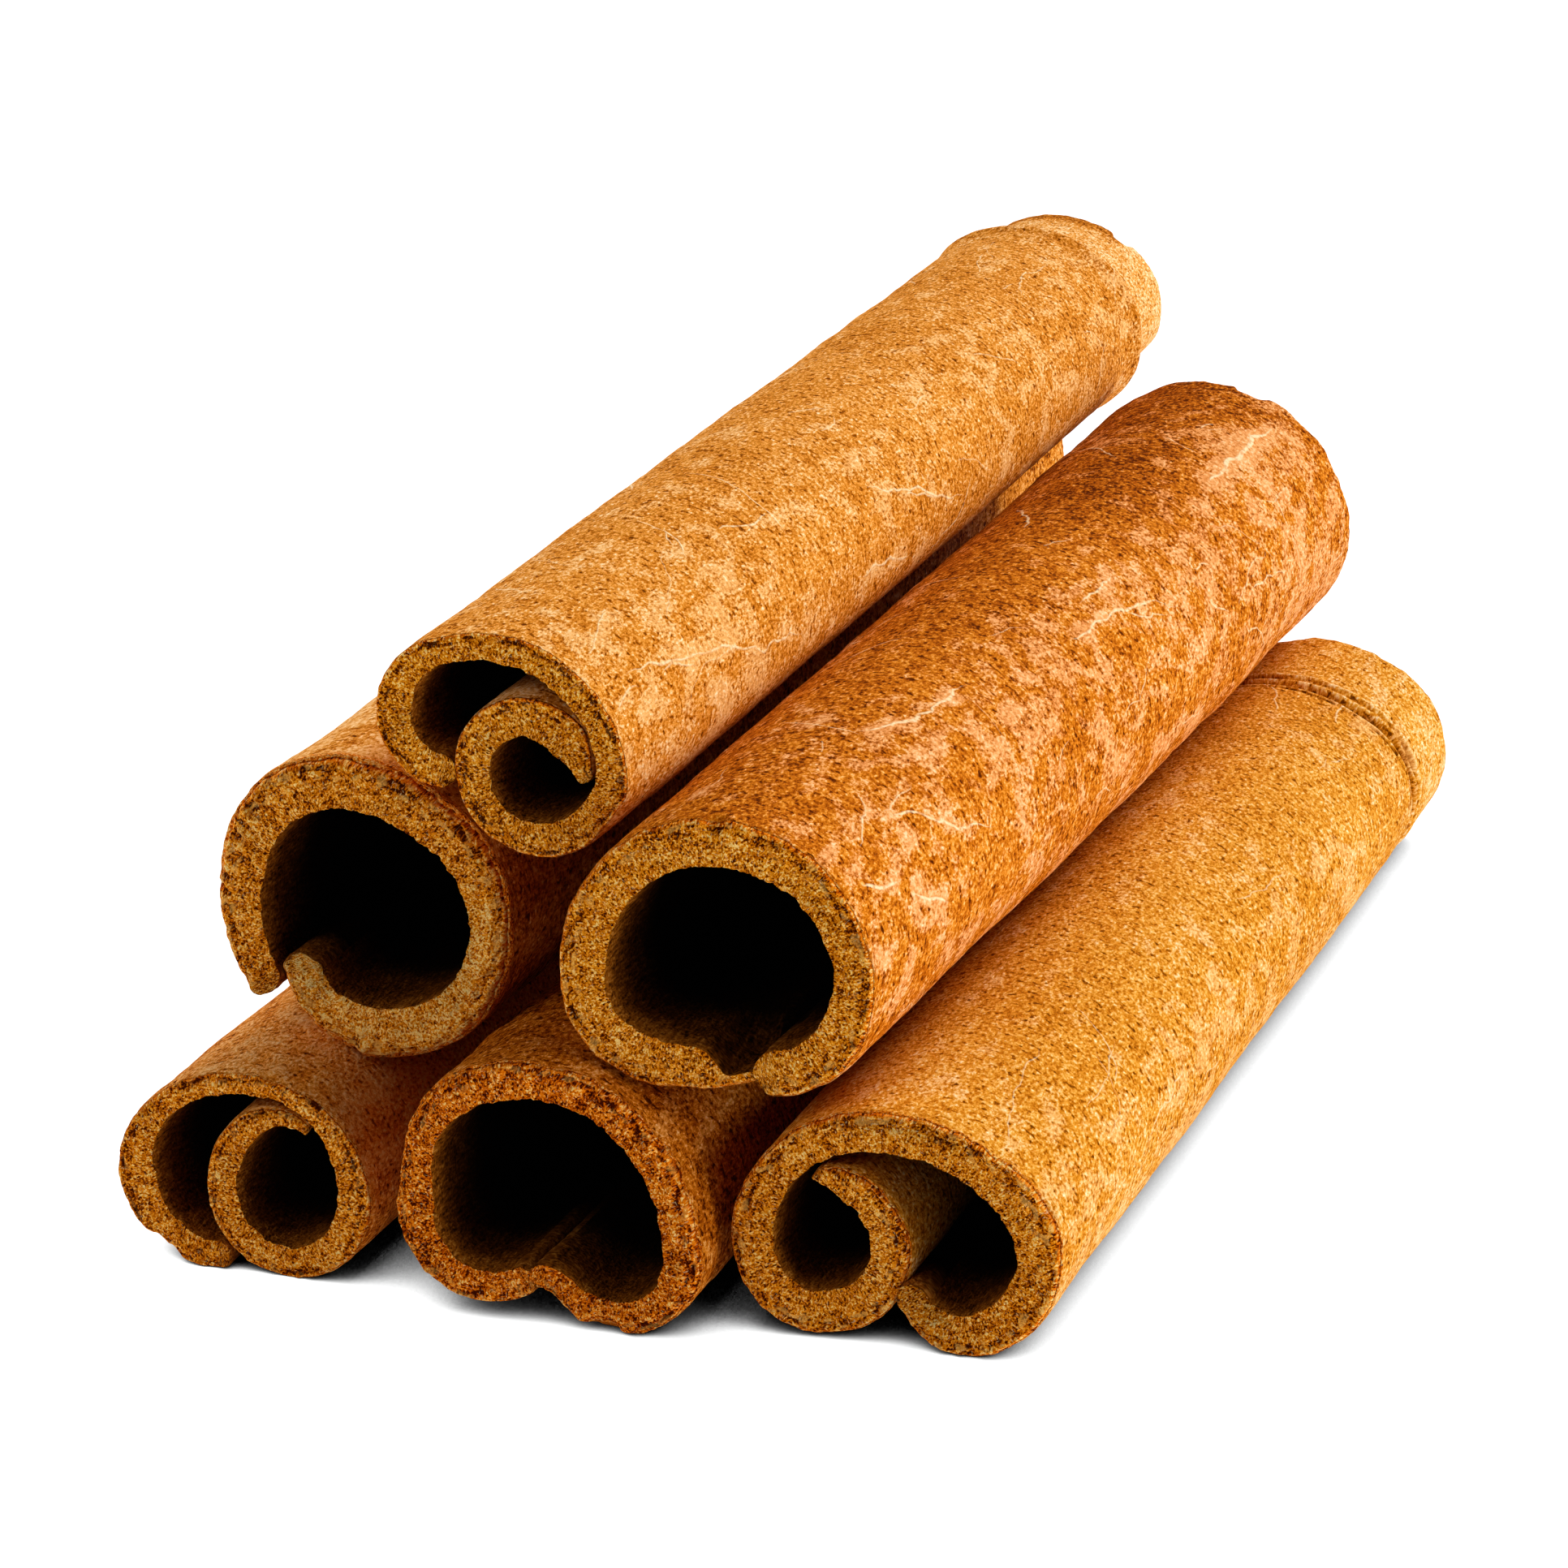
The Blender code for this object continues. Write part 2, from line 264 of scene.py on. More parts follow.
# how much further the last lip reaches, so that it nearly touches the roll (mm)
SEAM_CLOSED = dict(low_right=0.35)

# bites out of the rim: where along the sheet, half width, depth (mm), at the far end or not
BITES = {
    "mid_right": ((17.9, 0.35, 0.30, False), (19.7, 0.55, 0.55, True), (12.0, 0.8, 0.2, True)),
    "top": ((20.9, 0.5, 0.35, True), (14.6, 0.9, 0.25, False)),
    "low_mid": ((30.5, 0.6, 0.35, False), (37.5, 0.5, 0.3, False), (20.0, 0.8, 0.3, True)),
    "low_left": ((33.0, 0.7, 0.2, False), (25.0, 0.9, 0.3, True)),
    "mid_left": ((30.0, 0.5, 0.2, False), (14.0, 0.8, 0.35, True)),
    "low_right": ((21.0, 0.9, 0.25, True), (29.0, 0.6, 0.15, False)),
}


def vein_path(seed, points):
    """A wavy line through the points: s, y and the share of its length, each 0.12 mm."""
    points = np.array(points, float)
    run = np.concatenate(([0.0], np.cumsum(np.hypot(*np.diff(points, axis=0).T))))
    at = np.linspace(0.0, run[-1], max(10, int(run[-1] / 0.12)))
    s, y = np.interp(at, run, points[:, 0]), np.interp(at, run, points[:, 1])
    for _ in range(30):
        s[1:-1] = (s[:-2] + 2 * s[1:-1] + s[2:]) / 4
        y[1:-1] = (y[:-2] + 2 * y[1:-1] + y[2:]) / 4
    wave = 0.24 * noise(seed, at / 1.6, 0.5) + 0.05 * noise(seed + 1, at / 0.5, 0.5)
    ds, dy = np.gradient(s), np.gradient(y)
    size = np.hypot(ds, dy)
    return s + dy / size * wave, y - ds / size * wave, at / run[-1]


def veins(name, q, sheet, s, y, outer):
    """Offset from the nearest vein (signed, mm), how strongly it shows and the pale halo:
    three layers, so that veins may fork and cross."""
    rng = np.random.default_rng(q["seed"] + 500)
    drawn = [(w, h, vein_path(q["seed"] + 600 + 3 * i, p)) for i, (w, h, p) in enumerate(VEINS.get(name, ()))]
    while len(drawn) < len(VEINS.get(name, ())) + MORE_VEINS[name]:
        turn = math.radians(rng.normal(0.0, SPREAD[name]))
        long = rng.uniform(2.0, 8.0)
        s0, y0 = rng.uniform(1.0, sheet.length - 1.0), rng.uniform(0.5, q["length"] - long - 0.5)
        bend = math.radians(rng.uniform(-35, 35))
        middle = (s0 + 0.5 * long * math.sin(turn), y0 + 0.5 * long * math.cos(turn))
        end = (middle[0] + 0.5 * long * math.sin(turn + bend), middle[1] + 0.5 * long * math.cos(turn + bend))
        w = rng.uniform(0.50, 1.0)
        drawn.append((w, rng.uniform(0.0, 0.5), vein_path(q["seed"] + 700 + 3 * len(drawn), ((s0, y0), middle, end))))
    layers = [[], [], []]
    for vein in drawn:
        here = np.stack(vein[2][:2], 1)
        for layer in layers:
            if all(np.hypot(*(here[::3, None] - np.stack(other[2][:2], 1)[None, ::3]).transpose(2, 0, 1)).min() > 1.6
                   for other in layer):
                layer.append(vein)
                break
    found, halo = [], np.zeros(len(s))
    for number, layer in enumerate(layers):
        offset, shown = np.full(len(s), 2.0), np.zeros(len(s))
        for w, h, (ps, py, part) in layer:
            near = np.flatnonzero(outer & (s > ps.min() - 0.9) & (s < ps.max() + 0.9)
                                  & (y > py.min() - 0.9) & (y < py.max() + 0.9))
            ds, dy = s[near, None] - ps, y[near, None] - py
            which = np.argmin(ds * ds + dy * dy, axis=1)
            rows = np.arange(len(near))
            ds, dy = ds[rows, which], dy[rows, which]
            ts, ty = np.gradient(ps)[which], np.gradient(py)[which]
            away = np.hypot(ds, dy)
            strength = w * smooth(0.0, 0.18, part) * (1.0 - smooth(0.72, 1.0, part))
            strength = strength * (0.85 + 0.30 * noise(q["seed"] + 900 + number, part * 7.0, w * 9.0))
            strength = strength[which] * (1.0 - smooth(0.55, 0.78, away))
            mine = strength > shown[near]
            keep = near[mine]
            offset[keep] = (away * np.sign(ts * dy - ty * ds))[mine]
            shown[keep] = strength[mine]
            halo[near] = np.maximum(halo[near], h * strength * np.exp(-(away / 0.45) ** 2))
        found.append((offset, shown))
    return found, halo


# ---------------------------------------------------------------- relief, in mm
def outer_relief(name, q, sheet, s, y):
    """How far the outer face stands proud, its tone (+ paler, - darker) and its marbling."""
    k = q["seed"]
    share = y / q["length"]
    lumps = 0.085 * noise(k, s / 9.0, y / 15.0) + 0.045 * fbm(k + 1, s / 3.4, y / 5.5, 2)
    streak = fbm(k + 2, s / 1.1, y / 1.7, 2, 0.6)
    pits = fbm(k + 3, s / 0.55, y / 1.2, 1, 0.7)
    relief = lumps + 0.016 * streak + 0.012 * pits
    tone = 0.07 * noise(k + 6, s / 7.0, y / 12.0) + 0.03 * streak + 0.03 * pits

    # pale, slightly raised patches between sunken brown ones
    amount = MARBLED[name]
    bend = 0.5 * noise(k + 5, s / 1.4, y / 2.6)
    marbling_and_painted_light = 0.8 * fbm(k + 4, s / 1.05 + bend, y / 2.3 - bend, 2, 0.6) + 0.35 * noise(k + 8, s / 5.0, y / 9.0)
    if name == "mid_right":
        # painted shade: under the top quill, the strip along the first 18-22 mm of the sheet gets browner marbling and
        # a darker tone, darkest towards the far end
        marbling_and_painted_light = marbling_and_painted_light + 0.12 - 0.42 * (1.0 - smooth(18.0, 21.5, s)) + 0.10 * smooth(56.5, 58.0, y)
        tone = tone - (0.07 + 0.10 * smooth(30.0, 60.0, y)) * (1.0 - smooth(18.0, 22.5, s))
    elif name == "top":
        marbling_and_painted_light = marbling_and_painted_light + 0.08 - 0.35 * smooth(20.0, 24.0, s) + 0.12 * (1.0 - smooth(18.0, 24.0, y))
    elif name == "low_right":
        marbling_and_painted_light = marbling_and_painted_light - 0.25 + 0.50 * smooth(25.0, 30.5, s) * (1.0 - smooth(50.0, 62.0, y))
    elif name == "mid_left":
        # left side and top of this quill: more of its pale film, and a paler tone that is painted light from the left
        # lamp
        painted_light_mask = 1.0 - smooth(13.0, 17.0, s)
        marbling_and_painted_light = marbling_and_painted_light - 0.15 + 0.50 * painted_light_mask
        tone = tone + 0.13 * painted_light_mask
    elif name == "low_left":
        # on this quill's top: more of its pale film, and a paler tone that is painted light from the left lamp
        painted_light_mask = smooth(14.0, 16.5, s) * (1.0 - smooth(24.0, 27.0, s)) + 1.0 - smooth(3.0, 5.0, s)
        marbling_and_painted_light = marbling_and_painted_light - 0.15 + 0.30 * painted_light_mask
        tone = tone + 0.13 * painted_light_mask
    else:
        marbling_and_painted_light = marbling_and_painted_light - 0.15
    relief = relief + amount * (0.016 * smooth(0.0, 0.5, marbling_and_painted_light) - 0.016 * smooth(0.0, 0.5, -marbling_and_painted_light))

    # wrinkles that run mostly round the quill
    ridge = 1.0 - np.abs(fbm(k + 9, s / 5.0, y / 1.9, 2)) * 2.2
    ridge = np.clip(ridge, 0.0, 1.0) ** 4 * smooth(-0.1, 0.5, noise(k + 10, s / 8.0, y / 11.0))
    relief = relief - 0.05 * WRINKLE[name] * ridge
    tone = tone - 0.10 * WRINKLE[name] * ridge
    if name in ("low_mid", "mid_left", "low_left"):
        # broken, scaly skin behind the near cut end
        scaly = smooth(-0.1, 0.5, noise(k + 16, s / 4.0, y / 5.0)) * (1.0 - smooth(5.0, 14.0, y))
        flakes = fbm(k + 17, s / 1.1, y / 1.0, 2, 0.7)
        relief = relief + 0.07 * WRINKLE[name] * scaly * np.clip(flakes, -0.8, 0.5)
        tone = tone + 0.12 * scaly * np.clip(flakes, -1.0, 0.3)
    if name == "mid_right":
        # a low step runs round the quill
        line = y - 56.2 + 0.25 * (s - 24.0) + 0.5 * noise(k + 18, s / 2.5, 0.3)
        relief = relief + 0.07 * np.exp(-(line / 0.7) ** 2) * smooth(19.0, 21.0, s)
        tone = tone - 0.05 * np.exp(-((line + 0.9) / 0.6) ** 2) * smooth(19.0, 21.0, s)

    if q.get("neck"):
        on = smooth(NECK_FROM, NECK_FROM + 2.5, s)
        wob = share + 0.004 * noise(k + 12, s / 3.0, 0.5)
        ring = np.exp(-((wob - 0.905) / 0.0035) ** 2)
        beyond = smooth(0.906, 0.915, wob)
        ridge = np.exp(-((wob - 0.893) / 0.006) ** 2)
        second = np.exp(-((wob - 0.878) / 0.004) ** 2)
        broken = 0.6 + 0.4 * smooth(-0.3, 0.3, noise(k + 13, s / 2.0, 0.4))
        relief = relief + on * (0.13 * ridge * broken + 0.05 * second - 0.13 * ring)
        tone = tone * (1.0 - 0.75 * beyond * on) + on * (0.13 * beyond - 0.22 * ring - 0.07 * ridge
                                                        - 0.12 * np.exp(-((wob - 0.884) / 0.003) ** 2) * broken)
        marbling_and_painted_light = marbling_and_painted_light * (1.0 - 0.6 * beyond * on) + 0.25 * beyond * on
        # the far rim is stained dark along its upper side
        rim = (q["length"] - y) + 0.5 * noise(k + 14, s / 0.9, 0.4)
        stain = smooth(20.4, 21.0, s) * (1.0 - smooth(27.5, 29.0, s)) * (1.0 - smooth(0.9, 2.6, rim))
        tone = tone - 0.34 * stain
        marbling_and_painted_light = marbling_and_painted_light - 0.5 * stain
    if q.get("groove"):
        on = smooth(8.0, 10.5, s)
        for shift, depth, wide, part in ((0.0, 0.42, 0.0034, 13), (0.0120, 0.26, 0.0026, 14), (-0.0115, 0.20, 0.0022, 15)):
            wob = share - GROOVE_AT - shift + 0.0032 * fbm(k + part, s / 3.5, 0.5, 2)
            line = np.exp(-(wob / wide) ** 2) * (0.30 + 0.70 * smooth(-0.3, 0.2, noise(k + part + 5, s / 2.6, 0.3)))
            relief = relief - on * depth * line
            tone = tone - on * 0.75 * line
            lifted = np.exp(-((wob - 2.0 * wide) / (1.1 * wide)) ** 2)
            relief = relief + on * 0.28 * depth * lifted
            tone = tone + on * 0.16 * lifted
            marbling_and_painted_light = marbling_and_painted_light + on * 0.5 * lifted
        beyond = smooth(GROOVE_AT + 0.012, GROOVE_AT + 0.03, share) * on
        tone = tone + 0.07 * beyond * smooth(18.0, 22.0, s)
        marbling_and_painted_light = marbling_and_painted_light + 0.35 * beyond * smooth(22.0, 27.0, s)
        close = np.exp(-((share - GROOVE_AT + 0.035) / 0.018) ** 2) * on * smooth(22.0, 28.0, s)
        marbling_and_painted_light = marbling_and_painted_light + 0.45 * close
    return relief, tone, marbling_and_painted_light


def inner_relief(q, s, y):
    k = q["seed"] + 50
    fibre = fbm(k, s / 0.8, y / 2.6, 3, 0.6)
    return 0.05 * noise(k + 1, s / 3.0, y / 6.0) + 0.03 * fibre, 0.10 * fibre


def cut_relief(name, q, sheet, s, t, wall, far):
    """How deep the cut end lies there, in mm, its tone and its grey bloom, partly a painted grey shadow."""
    k = q["seed"] + (300 if far else 200)
    across = t * wall
    coarse = ROUGH[name]
    broad = noise(k, s / 1.9, across / 1.9)
    lumps = fbm(k + 1, s / 0.62, across / 0.55, 2, 0.6)
    grain = fbm(k + 2, s / 0.24, across / 0.24, 2, 0.7)
    deep = 0.07 * broad + (0.035 + 0.065 * coarse) * lumps + 0.050 * grain
    tone = -(0.06 + 0.08 * coarse) * lumps - 0.10 * grain

    # edges: the outer one is worn round, both are a little crumbled
    rim = (1.0 - t) * wall
    r = ROUND_OVER[name]
    deep = deep + r - np.sqrt(np.maximum(r * r - np.clip(r - rim, 0.0, r) ** 2, 0.0))
    outer = np.exp(-rim / 0.20)
    inner = np.exp(-across / 0.12)
    crumb = smooth(0.0, 0.9, fbm(k + 3, s / 2.1, 3.7, 4, 0.62))
    deep = deep + outer * (0.02 + coarse * 0.16 * crumb)
    crumb = smooth(0.0, 0.8, fbm(k + 4, s / 1.3, 9.1, 4, 0.65))
    deep = deep + inner * (0.03 + 0.12 * crumb)
    for at, wide, depth, end in BITES.get(name, ()):
        if end == far:
            deep = deep + depth * np.exp(-((s - at) / wide) ** 4) * np.exp(-(rim / 0.45) ** 2)

    # the outer skin parts from the wall in fine, broken cracks; their darker tone is painted shadow under the skin
    for base, width, depth, seed in ((0.87, 0.075, 0.20, 5), (0.74, 0.065, 0.12, 8)):
        line = base + 0.05 * noise(k + seed, s / 3.0, 0.2) + 0.03 * noise(k + seed + 1, s / 0.6, 0.6)
        open_ = smooth(-0.05, 0.40, fbm(k + seed + 2, s / 1.6, 0.9, 3)) * smooth(1.0, 3.0, s)
        crack_and_shadow = np.exp(-((t - line) * wall / width) ** 2) * open_
        deep = deep + (0.4 + 0.6 * coarse) * depth * crack_and_shadow
        tone = tone - (0.62 - 0.22 * min(coarse, 1.0)) * crack_and_shadow
    band = np.exp(-((t - 0.80 - 0.04 * noise(k + 14, s / 1.5, 0.5)) / 0.09) ** 2)
    brown = 0.5 + 0.5 * smooth(-0.3, 0.4, noise(k + 15, s / 3.5, 0.2))
    tone = tone - 0.13 * band * brown + 0.10 * smooth(0.90, 0.96, t)
    tone = tone + dict(low_mid=-0.06, low_left=0.0).get(name, 0.0)
    if name in ("low_mid", "mid_left", "low_right"):
        # chunky layer under the skin
        chunk = fbm(k + 16, s / 0.55, across / 0.40, 2, 0.6) * smooth(0.52, 0.68, t) * (1.0 - smooth(0.92, 1.0, t))
        deep = deep + 0.085 * chunk
        tone = tone - 0.13 * chunk

    if name == "mid_left" and not far:
        # radial ribs on the upper left of this cut end
        where = smooth(1.0, 3.0, s) * (1.0 - smooth(10.0, 13.0, s)) * smooth(0.30, 0.60, t)
        ribs = np.sin(2 * math.pi * (s / 0.72 + 0.35 * noise(k + 20, s / 1.3, t * 1.5)))
        deep = deep + 0.075 * where * ribs
        tone = tone - 0.13 * where * ribs
        # painted light: from 17 mm along the sheet on, this cut end is made paler where it lies in shade
        tone = tone + 0.24 * smooth(17.0, 22.0, s)

    # grey bloom on the lips and along some inner edges; the band across low_right's cut end is a painted grey shadow
    grey = 0.25 * smooth(0.25, 0.6, noise(k + 30, s / 2.6, across / 1.2))
    if name in ("mid_left", "low_right"):
        grey = grey + 0.9 * (1.0 - smooth(0.6, 2.6, sheet.length - s)) * (1.0 - 0.6 * t)
    if name == "mid_left":
        grey = grey + 0.7 * np.exp(-across / 0.25) * smooth(19.0, 20.5, s) * (1.0 - smooth(24.5, 26.5, s))
    if name == "low_right":
        # painted shadow: a grey band across this cut end
        grey = grey + 0.6 * np.exp(-((t - 0.72) / 0.16) ** 2) * smooth(20.0, 21.5, s) * (1.0 - smooth(24.5, 26.0, s))
    if name == "low_left":
        grey = grey + 0.6 * smooth(0.45, 0.75, t) * (1.0 - smooth(2.0, 3.0, s))
    return deep, tone, np.clip(grey, 0.0, 1.0)


def chipped(s, y):
    """Beside the middle right quill's seam the wall's inner layers are broken away: the
    share of the wall that is missing there, counted from the bore."""
    profile = np.interp(s, (0.0, 0.95, 1.10, 1.30, 1.50, 1.75, 2.05, 2.45), (0.74, 0.74, 0.62, 0.40, 0.22, 0.09, 0.03, 0.0))
    return profile * (1.0 - smooth(2.5, 7.0, y))


# ---------------------------------------------------------------- one quill's mesh
def ring_places(q):
    """Distances of the rings from the near cut end, closer together near the cut ends, the neck and the groove."""
    start = [0.0, 0.055, 0.12, 0.20, 0.30, 0.42, 0.56, 0.73, 0.93, 1.18, 1.5, 1.9, 2.3]
    length = q["length"]
    dense = []
    if q.get("neck"):
        dense = [(0.872 * length, 0.925 * length, 0.20)]
    if q.get("groove"):
        dense = [(0.872 * length, 0.918 * length, 0.13)]
    ys = [start[-1]]
    while ys[-1] < length - start[-1] - 0.2:
        step = 0.405
        for a, b, h in dense:
            if a < ys[-1] < b:
                step = h
        ys.append(ys[-1] + step)
    body = np.array(ys[1:])
    body = start[-1] + (body - start[-1]) * (length - 2 * start[-1]) / (body[-1] - start[-1])
    return np.concatenate((start, body[:-1], length - np.array(start[::-1])))


def levels(edge):
    """How much coarser than full the outer row, the lips and the bore row are."""
    outer = 1 if edge < 0.65 else 2
    inner = 1 if edge < 0.25 else 2 if edge < 0.65 else 4 if edge < 1.4 else 8
    return outer, inner, outer


def build(name, q):
    sheet = Sheet(q)
    long = sheet.long
    full_s = np.linspace(0.0, sheet.length, FULL + 1)
    # across the wall: closer together under the outer skin
    full_t = np.array([0.0, 0.035, 0.10, 0.19, 0.30, 0.42, 0.54, 0.65, 0.735, 0.80, 0.85, 0.895, 0.935, 0.975, 1.0])
    angles = np.linspace(0.0, math.pi, ACROSS + 1)      # outer to inner
    S, T, E, Y, KIND = [], [], [], [], []
    count = 0

    def add(s, t, e, y, kind):
        """New vertices; gives their numbers."""
        nonlocal count
        n = len(s)
        S.append(np.asarray(s, float))
        T.append(np.broadcast_to(np.asarray(t, float), n))
        E.append(np.broadcast_to(np.asarray(e, float), n))
        Y.append(np.full(n, float(y)))
        KIND.append(np.full(n, kind))
        count += n
        return np.arange(count - n, count)

    places = ring_places(q)
    rows = []
    for y in places:
        lo, li, ll = levels(min(y, long - y))
        outer = add(full_s[::lo], 1.0, 0.0, y, 0)
        inner = add(full_s[::li], 0.0, 0.0, y, 1)
        arcs = []
        for end in (1, 0):
            a = angles[::ll][1:-1]
            s = np.full(len(a), sheet.length * end)
            body = add(s, 0.5 + 0.5 * np.cos(a), (1 if end else -1) * np.sin(a), y, 2 + end)
            start, stop = (outer[-1], inner[-1]) if end else (outer[0], inner[0])
            arcs.append(np.concatenate(([start], body, [stop])))
        rows.append((outer, arcs[0], inner, arcs[1]))

    quads, tris = [], []
    quad_kind, tri_kind = [], []

    def put_quads(a, b, c, d, kind):
        quads.append(np.stack((a, b, c, d), 1))
        quad_kind.append(np.full(len(a), kind))

    def put_tris(a, b, c, kind):
        tris.append(np.stack((a, b, c), 1))
        tri_kind.append(np.full(len(a), kind))

    def stitch(a, b, kind, turn):
        """Faces between two rows, one of which may have twice the steps of the other."""
        def quad(p, q_, r, s_):
            put_quads(*((p, q_, r, s_) if turn else (s_, r, q_, p)), kind)

        def tri(p, q_, r):
            put_tris(*((p, q_, r) if turn else (r, q_, p)), kind)

        if len(a) == len(b):
            quad(a[:-1], a[1:], b[1:], b[:-1])
        elif len(a) > len(b):
            tri(a[0::2][:-1], a[1::2], b[:-1])
            tri(a[1::2], a[2::2], b[1:])
            tri(a[1::2], b[1:], b[:-1])
        else:
            tri(b[1::2], b[0::2][:-1], a[:-1])
            tri(b[2::2], b[1::2], a[1:])
            tri(a[:-1], a[1:], b[1::2])

    for row, following in zip(rows, rows[1:]):
        stitch(row[0], following[0], 0, True)
        stitch(row[1], following[1], 2, True)
        stitch(row[2], following[2], 1, False)
        stitch(row[3], following[3], 2, False)

    # the cut ends: columns from the bore side to the outer side, at each step of the sheet
    def cut_end(row, y, kind, turn):
        outer, last, inner, first = row
        columns = []
        inside = full_t[1:-1]

        def lip_columns(arc, end):
            """Columns between the sheet's end and its round lip, the lip itself last."""
            sign = 1 if end else -1
            made = []
            for k in range(1, LIP_COLUMNS):
                c = k / LIP_COLUMNS
                a = angles[::-1][1:-1]                      # inner to outer
                t = (0.5 + 0.5 * np.cos(a)) * c + inside * (1 - c)
                body = add(np.full(len(a), sheet.length * end), t, sign * np.sin(a) * c, y, 4)
                made.append(np.concatenate(([arc[-1]], body, [arc[0]])))
            made.append(arc[::-1])
            return made

        first_columns = lip_columns(first, 0)[::-1]
        for j in range(FULL + 1):
            body = add(np.full(len(inside), full_s[j]), inside, 0.0, y, 4)
            columns.append(np.concatenate(([inner[j]], body, [outer[j]])))
        columns = first_columns + columns + lip_columns(last, 1)
        for a, b in zip(columns, columns[1:]):
            for k in range(ACROSS):
                corners = [a[k], a[k + 1], b[k + 1], b[k]]
                if not turn:
                    corners = corners[::-1]
                kept = [c for i, c in enumerate(corners) if c != corners[i - 1]]
                if len(kept) == 4:
                    cut_quads.append(kept)
                    cut_quad_kind.append(kind)
                elif len(kept) == 3:
                    cut_tris.append(kept)
                    cut_tri_kind.append(kind)

    cut_quads, cut_tris, cut_quad_kind, cut_tri_kind = [], [], [], []
    cut_end(rows[0], 0.0, 4, True)
    cut_end(rows[-1], long, 5, False)
    quads.append(np.array(cut_quads))
    quad_kind.append(np.array(cut_quad_kind))
    tris.append(np.array(cut_tris).reshape(-1, 3))
    tri_kind.append(np.array(cut_tri_kind, int))
    quads, tris = np.concatenate(quads), np.concatenate(tris)
    face_kind = np.concatenate(quad_kind + tri_kind)

    # relief
    s, t, e, y = (np.concatenate(v) for v in (S, T, E, Y))
    kind = np.concatenate(KIND)
    if q.get("chip"):
        gone = chipped(s, y)
        t, e = gone + (1.0 - gone) * t, e * (1.0 - gone)
    wall = np.interp(s, sheet.fine, sheet.wall)
    edge = np.minimum(y, long - y)
    lined, halo = veins(name, q, sheet, s, y, kind == 0)
    out_push, out_tone, marbling_and_painted_light = outer_relief(name, q, sheet, s, y)
    marbling_and_painted_light = marbling_and_painted_light + 0.9 * halo
    for offset, shown in lined:
        out_push = out_push + 0.018 * shown * np.exp(-(offset / 0.22) ** 2)
    in_push, in_tone = inner_relief(q, s, y)
    rough = np.exp(-edge / 0.55)
    crumble = fbm(q["seed"] + 80, s / 1.5 + 40 * (t > 0.5), y / 1.1, 4, 0.62)
    r = ROUND_OVER[name]
    worn = r - np.sqrt(np.maximum(r * r - np.clip(r - edge, 0.0, r) ** 2, 0.0))
    out_push = out_push - rough * (0.02 + 0.07 * ROUGH[name] * np.maximum(crumble, -0.5)) - 0.3 * worn
    in_push = in_push - rough * (0.02 + 0.07 * np.maximum(crumble, -0.3))
    for at, wide, depth, end in BITES.get(name, ()):
        out_push = out_push - (0.7 * depth * np.exp(-((s - at) / wide) ** 4)
                               * np.exp(-((long - y if end else y) / 0.5) ** 2))
    push = out_push * t - in_push * (1.0 - t)
    lip_wave = 0.10 * fbm(q["seed"] + 90, s + y / 3.1, t * 1.3, 3, 0.6) + 0.07 * noise(q["seed"] + 91, y / 0.5, t * 3.0)
    extra = e * (LIP_ROUND * wall + lip_wave) + SEAM_CLOSED.get(name, 0.0) * np.clip(e, 0.0, 1.0)
    along = np.clip(s + e * 0.0, 0.0, sheet.length)

    place_on_cut = s + e * 0.5 * wall
    near_deep, near_tone, near_grey = cut_relief(name, q, sheet, place_on_cut, t, wall, False)
    far_deep, far_tone, far_grey = cut_relief(name, q, sheet, place_on_cut, t, wall, True)
    fade = 1.0 / 0.55
    near_w, far_w = np.exp(-y * fade), np.exp(-(long - y) * fade)
    dy = near_deep * near_w - far_deep * far_w
    px, py, pz = sheet.place(s, t, extra, push, y, along)
    py = py + dy
    if q["floor"]:
        pz = np.maximum(pz, 0.0)
    points = np.stack((px, py, pz), 1) * MM

    on_cut = np.maximum(np.exp(-y / 0.08), np.exp(-(long - y) / 0.08))
    cut_tone = np.where(y < long / 2, near_tone, far_tone)
    grey = np.where(y < long / 2, near_grey, far_grey) * np.where(kind == 4, 1.0, on_cut)
    side_tone = out_tone * t + in_tone * (1 - t)
    tone = np.where(kind == 4, cut_tone, side_tone * (1 - on_cut) + cut_tone * on_cut)

    # mesh
    mesh = bpy.data.meshes.new("stick_" + name)
    nq, nt = len(quads), len(tris)
    mesh.vertices.add(len(points))
    mesh.vertices.foreach_set("co", points.astype(np.float32).ravel())
    mesh.loops.add(nq * 4 + nt * 3)
    loops = np.concatenate((quads.ravel(), tris.ravel())).astype(np.int32)
    mesh.loops.foreach_set("vertex_index", loops)
    mesh.polygons.add(nq + nt)
    starts = np.concatenate((np.arange(nq) * 4, nq * 4 + np.arange(nt) * 3)).astype(np.int32)
    mesh.polygons.foreach_set("loop_start", starts)
    mesh.update(calc_edges=True)

    # which way the faces turn depends on which way the sheet rolls
    mesh.validate()
    area = 0.0
    sample = rows[len(rows) // 2]
    loop_x, loop_z = px[sample[0]], pz[sample[0]]
    probe = quads[0]
    a, b, c = (points[probe[i]] for i in (0, 1, 2))
    normal = np.cross(b - a, c - a)
    head0 = sheet.head[0]
    outward = np.array([-math.sin(head0), 0.0, math.cos(head0)]) * sheet.side
    if float(normal @ outward) < 0:
        mesh.flip_normals()

